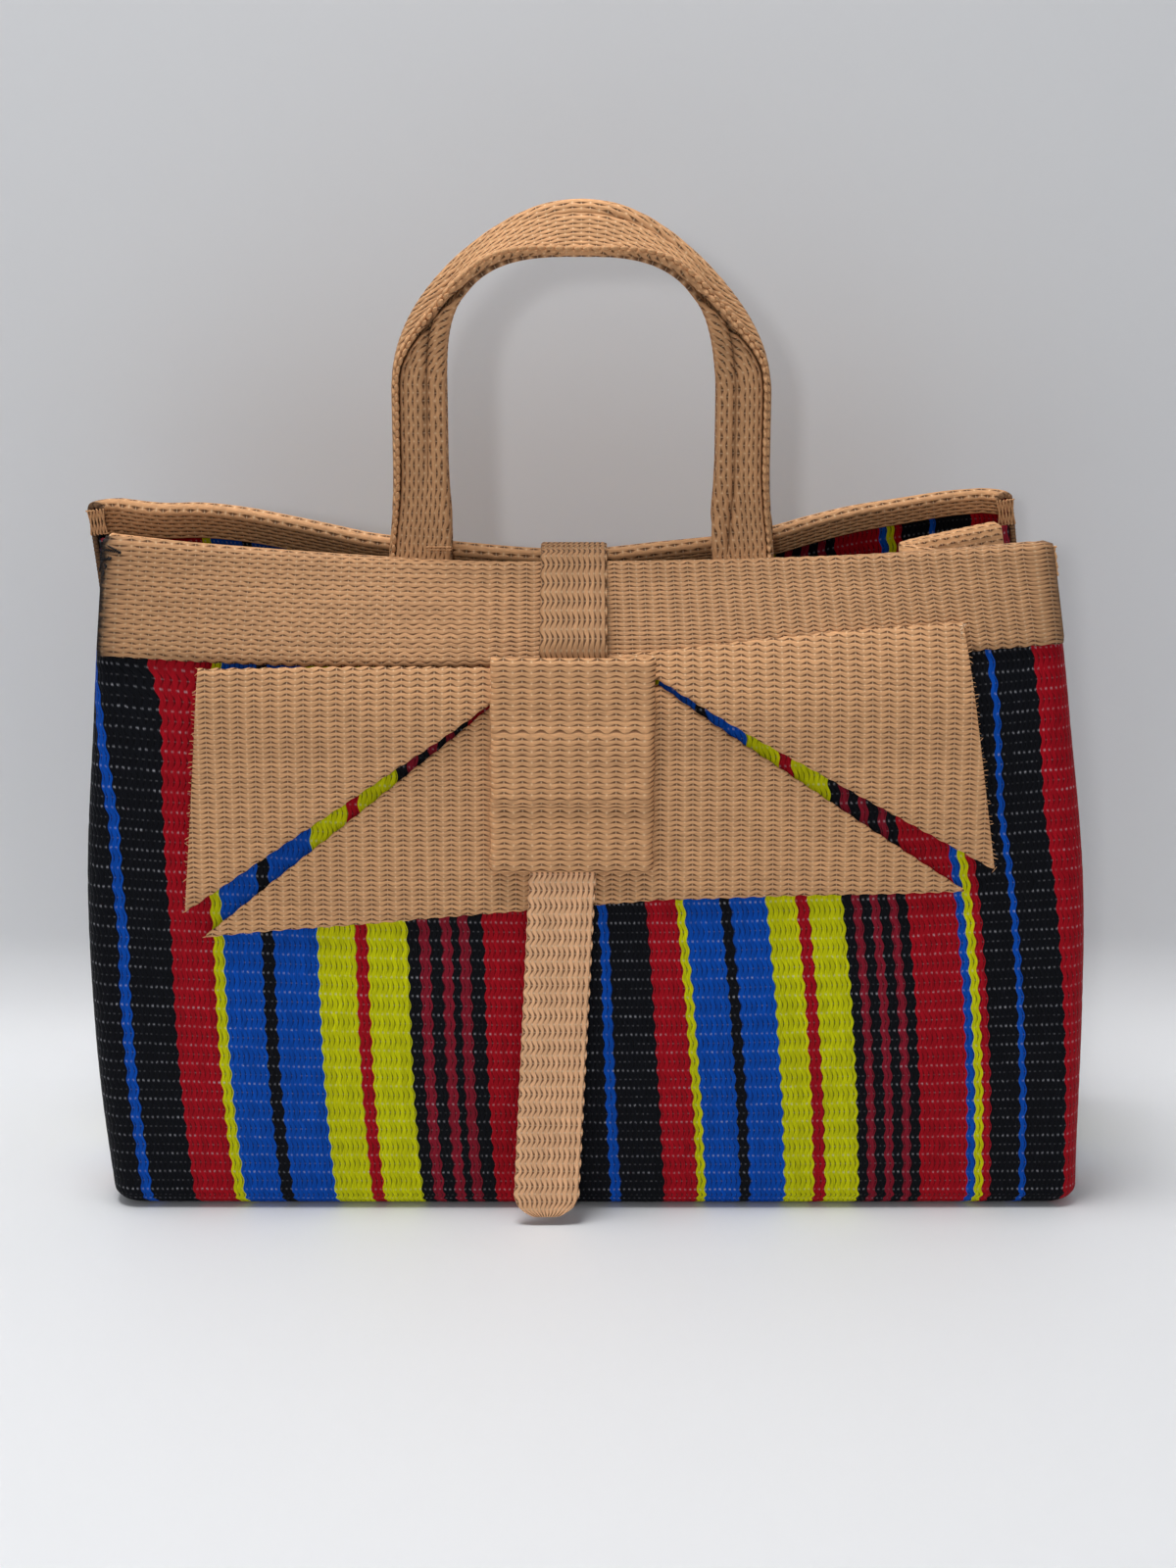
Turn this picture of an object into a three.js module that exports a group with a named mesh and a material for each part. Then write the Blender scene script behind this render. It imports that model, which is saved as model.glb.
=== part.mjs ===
// Woven tote bag: striped fabric body with folded gussets, tan webbing bands,
// two rolled handles, a webbing bow with a pleated knot, and a closure strap.
// Millimetres, +Z up, front faces -Y, origin at the centre of the base.
import * as THREE from 'three';

// Driving dimensions: materials
const fabric = 1.4;
const webbing = 1.8;
const seat = 0.3;
const seamGap = 0.65;

// Driving dimensions: body
const baseDepth = 110;
const baseHalfWidth = 190;
const bellyHalfWidth = 191.5;
const rimHalfWidth = 180;
const backRimExtraWidth = 6;
const rimShift = -4;
const backRimShift = -8;
const baseEdgeRadius = 6;
const cornerRadius = 9;
const rimHeight = 249.5;
const cornerRise = 12;
const backRimRise = 2;

// Driving dimensions: how far the panels stand out from the closed middle plane
const bellyBulge = 2;
const waistIn = 3.5;
const shoulderIn = 9.5;
const collarIn = 16.5;
const frontRimAt = 7.6;
const backRimAt = 4.3;
const cornerBellyIn = 0.5;
const cornerWaistIn = 3;
const cornerShoulderIn = 6;
const cornerCollarIn = 9;
const cornerRimAt = 38;
const rimOpening = 2;
const backBow = 9;
const backBowFrom = 0.42;

// Driving dimensions: gussets
const gussetFold = 50;
const gussetDrop = 8;
const gussetFoldBlunt = 0.08;
const gussetFoldStart = 0.1;
const gussetBandOutside = 24;
const gussetBandInside = 12;

// Driving dimensions: rim bands
const bandOutsideLeft = 48;
const bandOutsideRight = 39;
const bandInside = 14;

// Driving dimensions: handles
const handleWidth = 22.6;
const handleSpacing = 123;
const handleTop = 373.5;
const handleTilt = 30;
const handleEndLength = 32;
const handleAt = -2.5;
const handleLean = 6;
const handlePivotRise = 5;

// Driving dimensions: closure strap
const strapWidth = 25;
const strapAt = -5.5;
const strapLean = 6;
const tailDrift = -11;
const tailTip = 3;
const tailTipRound = 9;
const tailTipBlunt = 0.12;
const tailAboveKnot = 6;
const anchorDrop = 62;

// Driving dimensions: bow, as [distance right of the strap, distance below the rim]
const bowTop = [[-140.1, 32.5], [-28.5, 35.1], [32.5, 32.1], [145.8, 18.5]];
const slitUpper = [[-147.2, 126], [-28.5, 46.7], [32.5, 41], [159.1, 109.8]];
const slitLower = [[-140, 136], [-28.5, 50.5], [32.5, 44.2], [148.1, 118.4]];
const bowBottom = [[-139.8, 136.5], [-28.5, 127.5], [32.5, 122.5], [148, 118.9]];

// Driving dimensions: knot
const knotWidth = 60;
const knotDrop = 29.5;
const knotHeight = 80.5;
const knotPleatAbove = 26.7;
const knotPleatBelow = 54.8;
const knotPleatStep = 1.6;
const knotClearance = 0.5;
const knotCrownEdge = 0.28;
const strapMargin = 0.6;

const front = -1;
const back = 1;
const colours = {
  fabric: 0x1f5fae,
  tan: 0xcda67a,
  tanLight: 0xdcb48a,
};

// Smooth curve through values given at rising positions
function through(positions, values, at) {
  const last = positions.length - 1;
  let k = 0;
  while (k < last - 1 && at > positions[k + 1]) k += 1;
  const slope = (i) => {
    const low = Math.max(i - 1, 0);
    const high = Math.min(i + 1, last);
    return (values[high] - values[low]) / (positions[high] - positions[low]);
  };
  const width = positions[k + 1] - positions[k];
  const t = (at - positions[k]) / width;
  const t2 = t * t;
  const t3 = t2 * t;
  return (2 * t3 - 3 * t2 + 1) * values[k] + (t3 - 2 * t2 + t) * width * slope(k)
    + (3 * t2 - 2 * t3) * values[k + 1] + (t3 - t2) * width * slope(k + 1);
}

const mix = (a, b, t) => a + (b - a) * t;
const clamp = (value, low, high) => Math.min(Math.max(value, low), high);

// Stations from 0 to 1 in even steps, or in runs given as [end, steps]
function evenly(count) {
  return runs([[1, count]]);
}

function runs(parts) {
  const stations = [0];
  let start = 0;
  for (const [end, count] of parts) {
    for (let i = 1; i <= count; i += 1) stations.push(start + (end - start) * i / count);
    start = end;
  }
  return stations;
}

// Closed solid of even thickness about a surface point(u, v), u and v from 0 to 1
function sheetSolid(point, thickness, uStations, vStations) {
  const thicknessAt = typeof thickness === 'function' ? thickness : () => thickness;
  const upper = [];
  const lower = [];
  const step = 1e-3;
  const uSteps = uStations.length - 1;
  const vSteps = vStations.length - 1;
  for (const u of uStations) {
    for (const v of vStations) {
      const centre = point(u, v);
      const du = point(Math.min(u + step, 1), v).sub(point(Math.max(u - step, 0), v));
      const dv = point(u, Math.min(v + step, 1)).sub(point(u, Math.max(v - step, 0)));
      const normal = du.cross(dv).normalize().multiplyScalar(thicknessAt(v) / 2);
      upper.push(centre.clone().add(normal));
      lower.push(centre.clone().sub(normal));
    }
  }
  const row = vSteps + 1;
  const count = upper.length;
  const index = [];
  const quad = (a, b, c, d) => index.push(a, b, c, a, c, d);
  for (let i = 0; i < uSteps; i += 1) {
    for (let j = 0; j < vSteps; j += 1) {
      const a = i * row + j;
      quad(a, a + row, a + row + 1, a + 1);
      quad(count + a, count + a + 1, count + a + row + 1, count + a + row);
    }
  }
  const wall = (a, b) => quad(a, b, count + b, count + a);
  for (let i = 0; i < uSteps; i += 1) {
    wall((i + 1) * row, i * row);
    wall(i * row + vSteps, (i + 1) * row + vSteps);
  }
  for (let j = 0; j < vSteps; j += 1) {
    wall(j, j + 1);
    wall(uSteps * row + j + 1, uSteps * row + j);
  }
  const geometry = new THREE.BufferGeometry();
  const places = [...upper, ...lower].flatMap((p) => [p.x, p.y, p.z]);
  geometry.setAttribute('position', new THREE.Float32BufferAttribute(places, 3));
  geometry.setIndex(index);
  if (signedVolume(places, index) < 0) {
    for (let k = 0; k < index.length; k += 3) {
      [index[k + 1], index[k + 2]] = [index[k + 2], index[k + 1]];
    }
    geometry.setIndex(index);
  }
  geometry.computeVertexNormals();
  return geometry;
}

function signedVolume(places, index) {
  const corner = (k) => new THREE.Vector3().fromArray(places, 3 * index[k]);
  let volume = 0;
  for (let k = 0; k < index.length; k += 3) {
    volume += corner(k).dot(corner(k + 1).cross(corner(k + 2))) / 6;
  }
  return volume;
}

// Body surface: side is front or back, s runs across from -1 to 1, h up from 0 to 1
const heights = [0, 0.25, 0.5, 0.7, 0.84, 1];

function spread(s) {
  return Math.abs(s) ** rimOpening;
}

function standOut(side, s, h) {
  const half = baseDepth / 2;
  const rimAt = side === front ? frontRimAt : backRimAt;
  const middle = [half, half + bellyBulge, half - waistIn, half - shoulderIn,
    half - collarIn, rimAt];
  const corner = [half - cornerBellyIn, half - cornerBellyIn, half - cornerWaistIn,
    half - cornerShoulderIn, half - cornerCollarIn, cornerRimAt];
  const value = mix(through(heights, middle, h), through(heights, corner, h), spread(s));
  if (side === front) return value;
  const alongBow = clamp((s - backBowFrom) / (1 - backBowFrom), 0, 1);
  return value + backBow * Math.sin(Math.PI * alongBow) * h ** 4;
}

function halfWidth(side, h) {
  const rim = side === back ? rimHalfWidth + backRimExtraWidth : rimHalfWidth;
  return through([0, 0.5, 1], [baseHalfWidth, bellyHalfWidth, rim], h);
}

function middleLine(side, h) {
  return (side === front ? rimShift : backRimShift) * h * h;
}

// Height where the base edge's curve ends and the wall begins
const wallFoot = fabric / 2 + baseEdgeRadius;

function heightOf(side, s, h) {
  const rim = side === back ? rimHeight + backRimRise : rimHeight;
  return wallFoot + h * (rim + cornerRise * spread(s) - wallFoot);
}

// Point of a panel: u from -1 to 1 runs over the face and round both corners,
// v from 0 to 1 runs round the base edge and up to the rim
const cornerShare = 0.06;
const baseShare = 0.08;

function panelPoint(side, u, v) {
  const reach = Math.abs(u);
  const s = Math.sign(u) * Math.min(reach / (1 - cornerShare), 1);
  const turn = Math.max(reach - (1 - cornerShare), 0) / cornerShare * Math.PI / 2;
  const climb = Math.min(v / baseShare, 1) * Math.PI / 2;
  const h = Math.max(v - baseShare, 0) / (1 - baseShare);
  const inset = baseEdgeRadius * (1 - Math.sin(climb));
  const drop = baseEdgeRadius * Math.cos(climb);
  const half = halfWidth(side, h) - inset;
  const x = middleLine(side, h) + s * (half - cornerRadius)
    + Math.sign(u) * cornerRadius * Math.sin(turn);
  const out = standOut(side, s, h) - inset - cornerRadius * (1 - Math.cos(turn));
  return new THREE.Vector3(x, side * out, heightOf(side, s, h) - drop);
}

// Frame on the outside of a panel at v: point, outward normal, upward tangent
function panelFrame(side, u, v) {
  const step = 1e-3;
  const p = panelPoint(side, u, v);
  const across = panelPoint(side, Math.min(u + step, 1), v)
    .sub(panelPoint(side, Math.max(u - step, -1), v));
  const up = panelPoint(side, u, Math.min(v + step, 1))
    .sub(panelPoint(side, u, v - step)).normalize();
  const normal = across.cross(up).normalize();
  if (normal.y * side < 0) normal.negate();
  return { p, normal, up };
}

// Length up the panel per unit of v near the rim
function rimScale(side, u) {
  return panelPoint(side, u, 1).distanceTo(panelPoint(side, u, 0.96)) / 0.04;
}

// Stand-out of the front face at a place given by x and height
function faceOut(x, z) {
  let s = 0;
  let h = 0;
  for (let pass = 0; pass < 6; pass += 1) {
    h = clamp((z - wallFoot) / (heightOf(front, s, 1) - wallFoot), 0, 1);
    s = clamp((x - middleLine(front, h)) / (halfWidth(front, h) - cornerRadius), -1, 1);
  }
  return standOut(front, s, h);
}

function facePoint(x, z, offset) {
  const step = 0.5;
  const y = -faceOut(x, z);
  const dx = (-faceOut(x + step, z) + faceOut(x - step, z)) / (2 * step);
  const dz = (-faceOut(x, z + step) + faceOut(x, z - step)) / (2 * step);
  const normal = new THREE.Vector3(dx, -1, dz).normalize();
  return new THREE.Vector3(x, y, z).addScaledVector(normal, offset);
}

// Stack of layers on the front face, from its middle surface to each layer's own
const bandOffset = fabric / 2 + seat + webbing / 2;
const insideOffset = bandOffset + 1.5 * seat;
const lowerBowOffset = bandOffset + seat;
const upperBowOffset = lowerBowOffset + webbing + seat;

const group = new THREE.Group();

function addPiece(name, geometry, colour) {
  const material = new THREE.MeshStandardMaterial({ color: colour, roughness: 0.85, metalness: 0 });
  const mesh = new THREE.Mesh(geometry, material);
  mesh.name = name;
  group.add(mesh);
  return mesh;
}

// Front and back panels
const faceSteps = 20;
const cornerSteps = 4;
const rimRow = 0.04;
const rimRows = 7;
const acrossPanel = runs([[cornerShare / 2, cornerSteps], [1 - cornerShare / 2, faceSteps],
  [1, cornerSteps]]);
const upPanel = runs([[baseShare, 3], [1 - rimRow * rimRows, 5], [1, rimRows]]);

function panel(side) {
  return sheetSolid((a, b) => panelPoint(side, 2 * a - 1, b), fabric, acrossPanel, upPanel);
}
addPiece('front_panel', panel(front), colours.fabric);
addPiece('back_panel', panel(back), colours.fabric);

// Base panel, butted against the lower edges of the four walls
function basePanel() {
  const edge = baseEdgeRadius + seat;
  const halfX = baseHalfWidth - edge;
  const halfY = baseDepth / 2 - cornerBellyIn - edge;
  const round = cornerRadius - seat;
  const outline = new THREE.Shape();
  outline.moveTo(-halfX + round, -halfY);
  outline.lineTo(halfX - round, -halfY);
  outline.absarc(halfX - round, -halfY + round, round, -Math.PI / 2, 0, false);
  outline.lineTo(halfX, halfY - round);
  outline.absarc(halfX - round, halfY - round, round, 0, Math.PI / 2, false);
  outline.lineTo(-halfX + round, halfY);
  outline.absarc(-halfX + round, halfY - round, round, Math.PI / 2, Math.PI, false);
  outline.lineTo(-halfX, -halfY + round);
  outline.absarc(-halfX + round, -halfY + round, round, Math.PI, 1.5 * Math.PI, false);
  const options = { depth: fabric, bevelEnabled: false, curveSegments: cornerSteps };
  return new THREE.ExtrudeGeometry(outline, options);
}
addPiece('base_panel', basePanel(), colours.fabric);

// Gussets: each spans from the front panel's edge to the back panel's and folds in
function gussetPoint(hand, u, v) {
  const a = panelPoint(front, hand, v);
  const b = panelPoint(back, hand, v);
  a.y += seamGap;
  b.y -= seamGap;
  const p = a.lerp(b, (u + 1) / 2);
  const pleat = (1 - Math.hypot(u, gussetFoldBlunt)) / (1 - gussetFoldBlunt);
  const rise = clamp((v - gussetFoldStart) / (1 - gussetFoldStart), 0, 1);
  p.x -= hand * gussetFold * rise * Math.max(pleat, 0);
  return p;
}

function gussetTop(hand) {
  return 1 - gussetDrop / rimScale(front, hand);
}

const gussetSteps = 14;

function gusset(hand) {
  const top = gussetTop(hand);
  return sheetSolid((a, b) => gussetPoint(hand, 2 * a - 1, top * b), fabric,
    evenly(gussetSteps), upPanel);
}

// Value at t from 0 to 1 along a list, with straight lines between its entries
function listAt(values, t) {
  const place = t * (values.length - 1);
  const k = Math.min(Math.floor(place), values.length - 2);
  return mix(values[k], values[k + 1], place - k);
}

// Webbing folded over an edge: its rows run up the outside, over the edge and down the
// inside; outside(a) and inside list how far below the edge each row lies
const foldSteps = 4;

function foldedBand(frameAt, outside, inside, uStations) {
  const rise = 0.4;
  const over = 0.7;
  const rows = runs([[rise, outside(0).length - 1], [over, foldSteps], [1, inside.length - 1]]);
  return sheetSolid((a, b) => {
    if (b < rise) {
      const f = frameAt(a, listAt(outside(a), b / rise));
      return f.p.addScaledVector(f.normal, bandOffset);
    }
    if (b < over) {
      const f = frameAt(a, 0);
      const turn = Math.PI * (b - rise) / (over - rise);
      const reach = turn < Math.PI / 2 ? bandOffset : insideOffset;
      return f.p.addScaledVector(f.normal, reach * Math.cos(turn))
        .addScaledVector(f.up, bandOffset * Math.sin(turn));
    }
    const f = frameAt(a, listAt(inside, (b - over) / (1 - over)));
    return f.p.addScaledVector(f.normal, -insideOffset);
  }, webbing, uStations, rows);
}

// A rim band ends half-way round each corner, on the same stations as the panel
function rimBand(side) {
  const reach = 1 - cornerShare / 2;
  const edge = cornerShare / 4 / reach;
  const stations = runs([[edge, cornerSteps / 2], [1 - edge, faceSteps], [1, cornerSteps / 2]]);
  const across = (a) => reach * (2 * a - 1);
  const frameAt = (a, below) => panelFrame(side, across(a), 1 - below);
  const scale = rimScale(side, 0);
  const outside = (a) => {
    const edgeBelow = mix(bandOutsideLeft, bandOutsideRight, a) / scale;
    return [edgeBelow, Math.min(4 * rimRow, 0.97 * edgeBelow), 3 * rimRow, 2 * rimRow, rimRow, 0];
  };
  return foldedBand(frameAt, outside, [0, rimRow, bandInside / scale], stations);
}

function gussetFrame(hand, u, v) {
  const step = 1e-3;
  const p = gussetPoint(hand, u, v);
  const across = gussetPoint(hand, Math.min(u + step, 1), v)
    .sub(gussetPoint(hand, Math.max(u - step, -1), v));
  const up = gussetPoint(hand, u, v).sub(gussetPoint(hand, u, v - step)).normalize();
  const normal = across.cross(up).normalize();
  if (normal.x * hand < 0) normal.negate();
  return { p, normal, up };
}

function gussetBand(hand) {
  const top = gussetTop(hand);
  const reach = 1 - 2 / gussetSteps;
  const frameAt = (a, below) => gussetFrame(hand, reach * (2 * a - 1), top - below);
  const scale = rimScale(front, hand);
  const row = rimRow * top;
  return foldedBand(frameAt, () => [gussetBandOutside / scale, 2 * row, row, 0],
    [0, row, gussetBandInside / scale], evenly(gussetSteps - 2));
}

const hands = [['left', -1], ['right', 1]];
for (const [name, hand] of hands) {
  addPiece(`${name}_gusset`, gusset(hand), colours.fabric);
  addPiece(`${name}_gusset_band`, gussetBand(hand), colours.tan);
}
addPiece('front_band', rimBand(front), colours.tan);
addPiece('back_band', rimBand(back), colours.tan);

// Handles: webbing folded to half its width, its fold on the outside of the arch
const layerGap = seat;
const handleStack = 2 * webbing + layerGap;
const handleEndRound = handleStack / 2;
const innerOffset = insideOffset + webbing / 2 + seat + handleStack / 2;
const bandTop = bandOffset + webbing / 2;

function acrossAt(side, x) {
  return (x - middleLine(side, 1)) / (halfWidth(side, 1) - cornerRadius) * (1 - cornerShare);
}

// The bend line of a handle, above the band's fold and inside the rim
function handlePivot(side) {
  const inner = panelFrame(side, acrossAt(side, handleAt + handleSpacing / 2), 1);
  const outer = panelFrame(side, acrossAt(side, handleAt + (handleSpacing + handleWidth) / 2), 1);
  const pivot = inner.p.clone().addScaledVector(inner.normal, -innerOffset)
    .addScaledVector(inner.up, handleLean);
  pivot.z = outer.p.z + bandTop + handleStack / 2 + handlePivotRise;
  return pivot;
}

// Centre line of a handle, its width direction and its face direction, by share of the run
function handleStation(side, v) {
  const pivot = handlePivot(side);
  const radius = handleSpacing / 2;
  const spring = handleTop - radius;
  const base = pivot.z - handleEndRound;
  const leg = legLength(side);
  const arc = Math.PI * radius;
  const run = v * handleLength(side);
  const angle = clamp((run - leg) / radius, 0, Math.PI);
  const x = handleAt - radius * Math.cos(angle);
  let z = spring + radius * Math.sin(angle);
  if (run < leg) z = base + run;
  if (run > leg + arc) z = base + 2 * leg + arc - run;
  const outward = new THREE.Vector3(-Math.cos(angle), 0, Math.sin(angle));
  const forward = new THREE.Vector3(Math.sin(angle), 0, Math.cos(angle));
  const tilt = THREE.MathUtils.degToRad(handleTilt) * Math.sin(angle) ** 2;
  outward.applyAxisAngle(forward, -tilt);
  const face = outward.clone().cross(forward).normalize();
  return { centre: new THREE.Vector3(x, pivot.y, z), outward, face };
}

function legLength(side) {
  return handleTop - handleSpacing / 2 - handlePivot(side).z + handleEndRound;
}

function handleLength(side) {
  return 2 * legLength(side) + Math.PI * handleSpacing / 2;
}

// Share of the full thickness at a distance from a rounded end
function roundedEnd(distance) {
  const blunt = 0.9;
  const below = clamp(1 - distance / handleEndRound, 0, blunt);
  return Math.sqrt(1 - below * below);
}

function endTaper(side, v) {
  return roundedEnd(Math.min(v, 1 - v) * handleLength(side));
}

// Folded section by share u of the webbing's width: two flat layers and the fold
const layerSpacing = (webbing + layerGap) / 2;
const layerWidth = handleWidth - webbing / 2 - layerSpacing;
const foldLength = Math.PI * layerSpacing;

function foldedAcross(u) {
  const run = u * (2 * layerWidth + foldLength);
  const low = -handleWidth / 2;
  if (run < layerWidth) return [low + run, layerSpacing];
  if (run < layerWidth + foldLength) {
    const turn = (run - layerWidth) / layerSpacing;
    return [low + layerWidth + layerSpacing * Math.sin(turn), layerSpacing * Math.cos(turn)];
  }
  return [low + 2 * layerWidth + foldLength - run, -layerSpacing];
}

function handle(side) {
  const end = handleEndRound / handleLength(side);
  const leg = legLength(side) / handleLength(side);
  const layer = layerWidth / (2 * layerWidth + foldLength);
  const along = runs([[end, 2], [leg, 3], [1 - leg, 20], [1 - end, 3], [1, 2]]);
  const across = runs([[layer, 3], [1 - layer, 4], [1, 3]]);
  const section = (a, b) => {
    const { centre, outward, face } = handleStation(side, b);
    const [width, depth] = foldedAcross(a);
    return centre.addScaledVector(outward, width)
      .addScaledVector(face, depth * endTaper(side, b));
  };
  return sheetSolid(section, (b) => webbing * endTaper(side, b), across, along);
}

// Handle ends: sewn inside the rim, then bent upright to just below the bend line
function handleEnd(side, hand) {
  const middle = handleAt + hand * handleSpacing / 2;
  const pivot = handlePivot(side);
  const top = pivot.z - handleEndRound - seat;
  const sewn = 0.6;
  const rounded = 0.94;
  const surface = (a, b) => {
    const u = acrossAt(side, middle + handleWidth * (a - 0.5));
    const below = handleEndLength * Math.max(1 - b / sewn, 0);
    const f = panelFrame(side, u, 1 - below / rimScale(side, u));
    const inside = f.p.addScaledVector(f.normal, -innerOffset);
    if (b <= sewn) return inside;
    const bend = inside.clone().addScaledVector(f.up, (pivot.y - inside.y) / f.up.y);
    const tip = new THREE.Vector3(inside.x, pivot.y, top);
    return new THREE.QuadraticBezierCurve3(inside, bend, tip).getPoint((b - sewn) / (1 - sewn));
  };
  const thickness = (b) => {
    if (b <= sewn) return handleStack;
    return handleStack * roundedEnd(top - surface(0.5, b).z);
  };
  return sheetSolid(surface, thickness, evenly(3), runs([[sewn, 4], [rounded, 3], [1, 3]]));
}

for (const [name, side] of [['front', front], ['back', back]]) {
  addPiece(`${name}_handle`, handle(side), colours.tan);
  for (const [handName, hand] of hands) {
    addPiece(`${name}_handle_${handName}_end`, handleEnd(side, hand), colours.tan);
  }
}

// Bow: wide webbing slit on the slant from both lower corners towards the knot
const bowWing = 0.42;
const bowStations = runs([[bowWing, 10], [1 - bowWing, 4], [1, 10]]);

// Point [x, z] at share a along an outline of four corners
function outlinePoint(points, a) {
  const shares = [0, bowWing, 1 - bowWing, 1];
  let k = 0;
  while (k < 2 && a > shares[k + 1]) k += 1;
  const t = (a - shares[k]) / (shares[k + 1] - shares[k]);
  const across = mix(points[k][0], points[k + 1][0], t);
  const below = mix(points[k][1], points[k + 1][1], t);
  return [strapAt + across, rimHeight - below];
}

function bowSheet(lowerLine, upperLine, offset) {
  const surface = (a, b) => {
    const [lowX, lowZ] = outlinePoint(lowerLine, a);
    const [highX, highZ] = outlinePoint(upperLine, a);
    return facePoint(mix(lowX, highX, b), mix(lowZ, highZ, b), offset);
  };
  return sheetSolid(surface, webbing, bowStations, evenly(6));
}
addPiece('bow_upper_ribbon', bowSheet(slitUpper, bowTop, upperBowOffset), colours.tan);
addPiece('bow_lower_ribbon', bowSheet(bowBottom, slitLower, lowerBowOffset), colours.tan);

// Line that the strap's tail lies and slides along, clear of the bow's proudest layer
const strapSlope = -Math.tan(THREE.MathUtils.degToRad(strapLean));

function layersOut(z) {
  const [, slitHeight] = outlinePoint(slitUpper, bowWing);
  const offset = z < slitHeight ? lowerBowOffset : upperBowOffset;
  return faceOut(strapAt, z) + offset + webbing + seat;
}

function strapBase() {
  const [, lowest] = outlinePoint(bowBottom, bowWing);
  const [, highest] = outlinePoint(bowTop, bowWing);
  let most = 0;
  for (let z = lowest; z <= highest; z += webbing) {
    most = Math.max(most, layersOut(z) - strapSlope * z);
  }
  return most + strapMargin;
}
const strapAtFloor = strapBase();

function strapOut(z) {
  return strapAtFloor + strapSlope * z;
}

// The tail drifts aside below the knot and ends in a rounded tip
const knotTop = rimHeight - knotDrop;
const tailHead = knotTop + tailAboveKnot;

function tailCentre(z) {
  const below = clamp((knotTop - z) / (knotTop - tailTip), 0, 1);
  return strapAt + tailDrift * below;
}

function tailHalfWidth(z) {
  const short = 1 - clamp((z - tailTip) / tailTipRound, 0, 1);
  return strapWidth / 2 * Math.sqrt(mix(tailTipBlunt, 1, 1 - short * short));
}

function strapTail() {
  const surface = (a, b) => {
    const z = mix(tailTip, tailHead, b);
    const x = tailCentre(z) + (2 * a - 1) * tailHalfWidth(z);
    return new THREE.Vector3(x, -strapOut(z), z);
  };
  const tip = tailTipRound / (tailHead - tailTip);
  return sheetSolid(surface, webbing, evenly(2), runs([[tip, 5], [1, 14]]));
}
addPiece('closure_strap_tail', strapTail(), colours.tanLight);

// Runs of the strap over the two rims, from the middle of the mouth
const mouthMiddle = (backRimAt - frontRimAt) / 2;
const overBand = bandOffset + webbing + seat + strapMargin;

function strapRun(points) {
  const path = new THREE.CurvePath();
  for (let k = 1; k < points.length; k += 1) {
    path.add(new THREE.LineCurve3(points[k - 1], points[k]));
  }
  const total = path.getLength();
  const along = [0, ...path.getCurveLengths().map((length) => length / total)];
  const surface = (a, b) => {
    const p = path.getPoint(b);
    p.x = strapAt + strapWidth * (a - 0.5);
    return p;
  };
  return sheetSolid(surface, webbing, evenly(1), along);
}

// Points over a band's fold, from its highest point to the outer face
function overFold(side) {
  const { p, normal, up } = panelFrame(side, 0, 1);
  const crest = Math.atan2(up.z, normal.z);
  const points = [];
  for (let k = 0; k <= foldSteps; k += 1) {
    const turn = crest * (1 - k / foldSteps);
    points.push(p.clone().addScaledVector(normal, overBand * Math.cos(turn))
      .addScaledVector(up, overBand * Math.sin(turn)));
  }
  return points;
}

// The front run ends behind the tail, which slides up past it
function frontRun() {
  const crest = overFold(front);
  const start = new THREE.Vector3(0, mouthMiddle - seat / 2, crest[0].z);
  const end = new THREE.Vector3(0, webbing + seat - strapOut(tailHead), tailHead - webbing);
  return strapRun([start, ...crest, end]);
}

function anchorRun() {
  const crest = overFold(back);
  const start = new THREE.Vector3(0, mouthMiddle + seat / 2, crest[0].z);
  const points = [start, ...crest];
  for (let row = 1; row * rimRow * rimScale(back, 0) < anchorDrop; row += 1) {
    const { p, normal } = panelFrame(back, 0, 1 - row * rimRow);
    points.push(p.addScaledVector(normal, overBand));
  }
  return strapRun(points);
}
addPiece('closure_strap_front', frontRun(), colours.tan);
addPiece('closure_strap_anchor', anchorRun(), colours.tan);

// Knot: a sleeve, sewn down at both sides, with the strap running through it; its
// middle third is pleated up over the thirds above and below
function knot() {
  const wall = webbing + knotClearance;
  const foot = knotTop - knotHeight;
  const low = 1 - knotPleatBelow / knotHeight;
  const high = 1 - knotPleatAbove / knotHeight;
  const edge = webbing / 2 / knotHeight;
  const step = (at, b) => clamp((b - at + edge) / (2 * edge), 0, 1);
  const surface = (a, b) => {
    const side = 2 * a - 1;
    const z = foot + knotHeight * b;
    const pleat = step(low, b) - step(high, b);
    const inFromEdge = clamp((1 - Math.abs(side)) / knotCrownEdge, 0, 1);
    const crown = 1 - (1 - inFromEdge) ** 2;
    const out = strapOut(z) - strapMargin / 2 + (wall + knotPleatStep * pleat) * crown;
    return new THREE.Vector3(strapAt + side * knotWidth / 2, -out, z);
  };
  const across = runs([[knotCrownEdge / 2, 3], [1 - knotCrownEdge / 2, 4], [1, 3]]);
  const up = runs([[low - edge, 2], [low + edge, 1], [high - edge, 2], [high + edge, 1], [1, 2]]);
  return sheetSolid(surface, webbing, across, up);
}
addPiece('bow_knot', knot(), colours.tan);

export default group;
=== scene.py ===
import math

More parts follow.
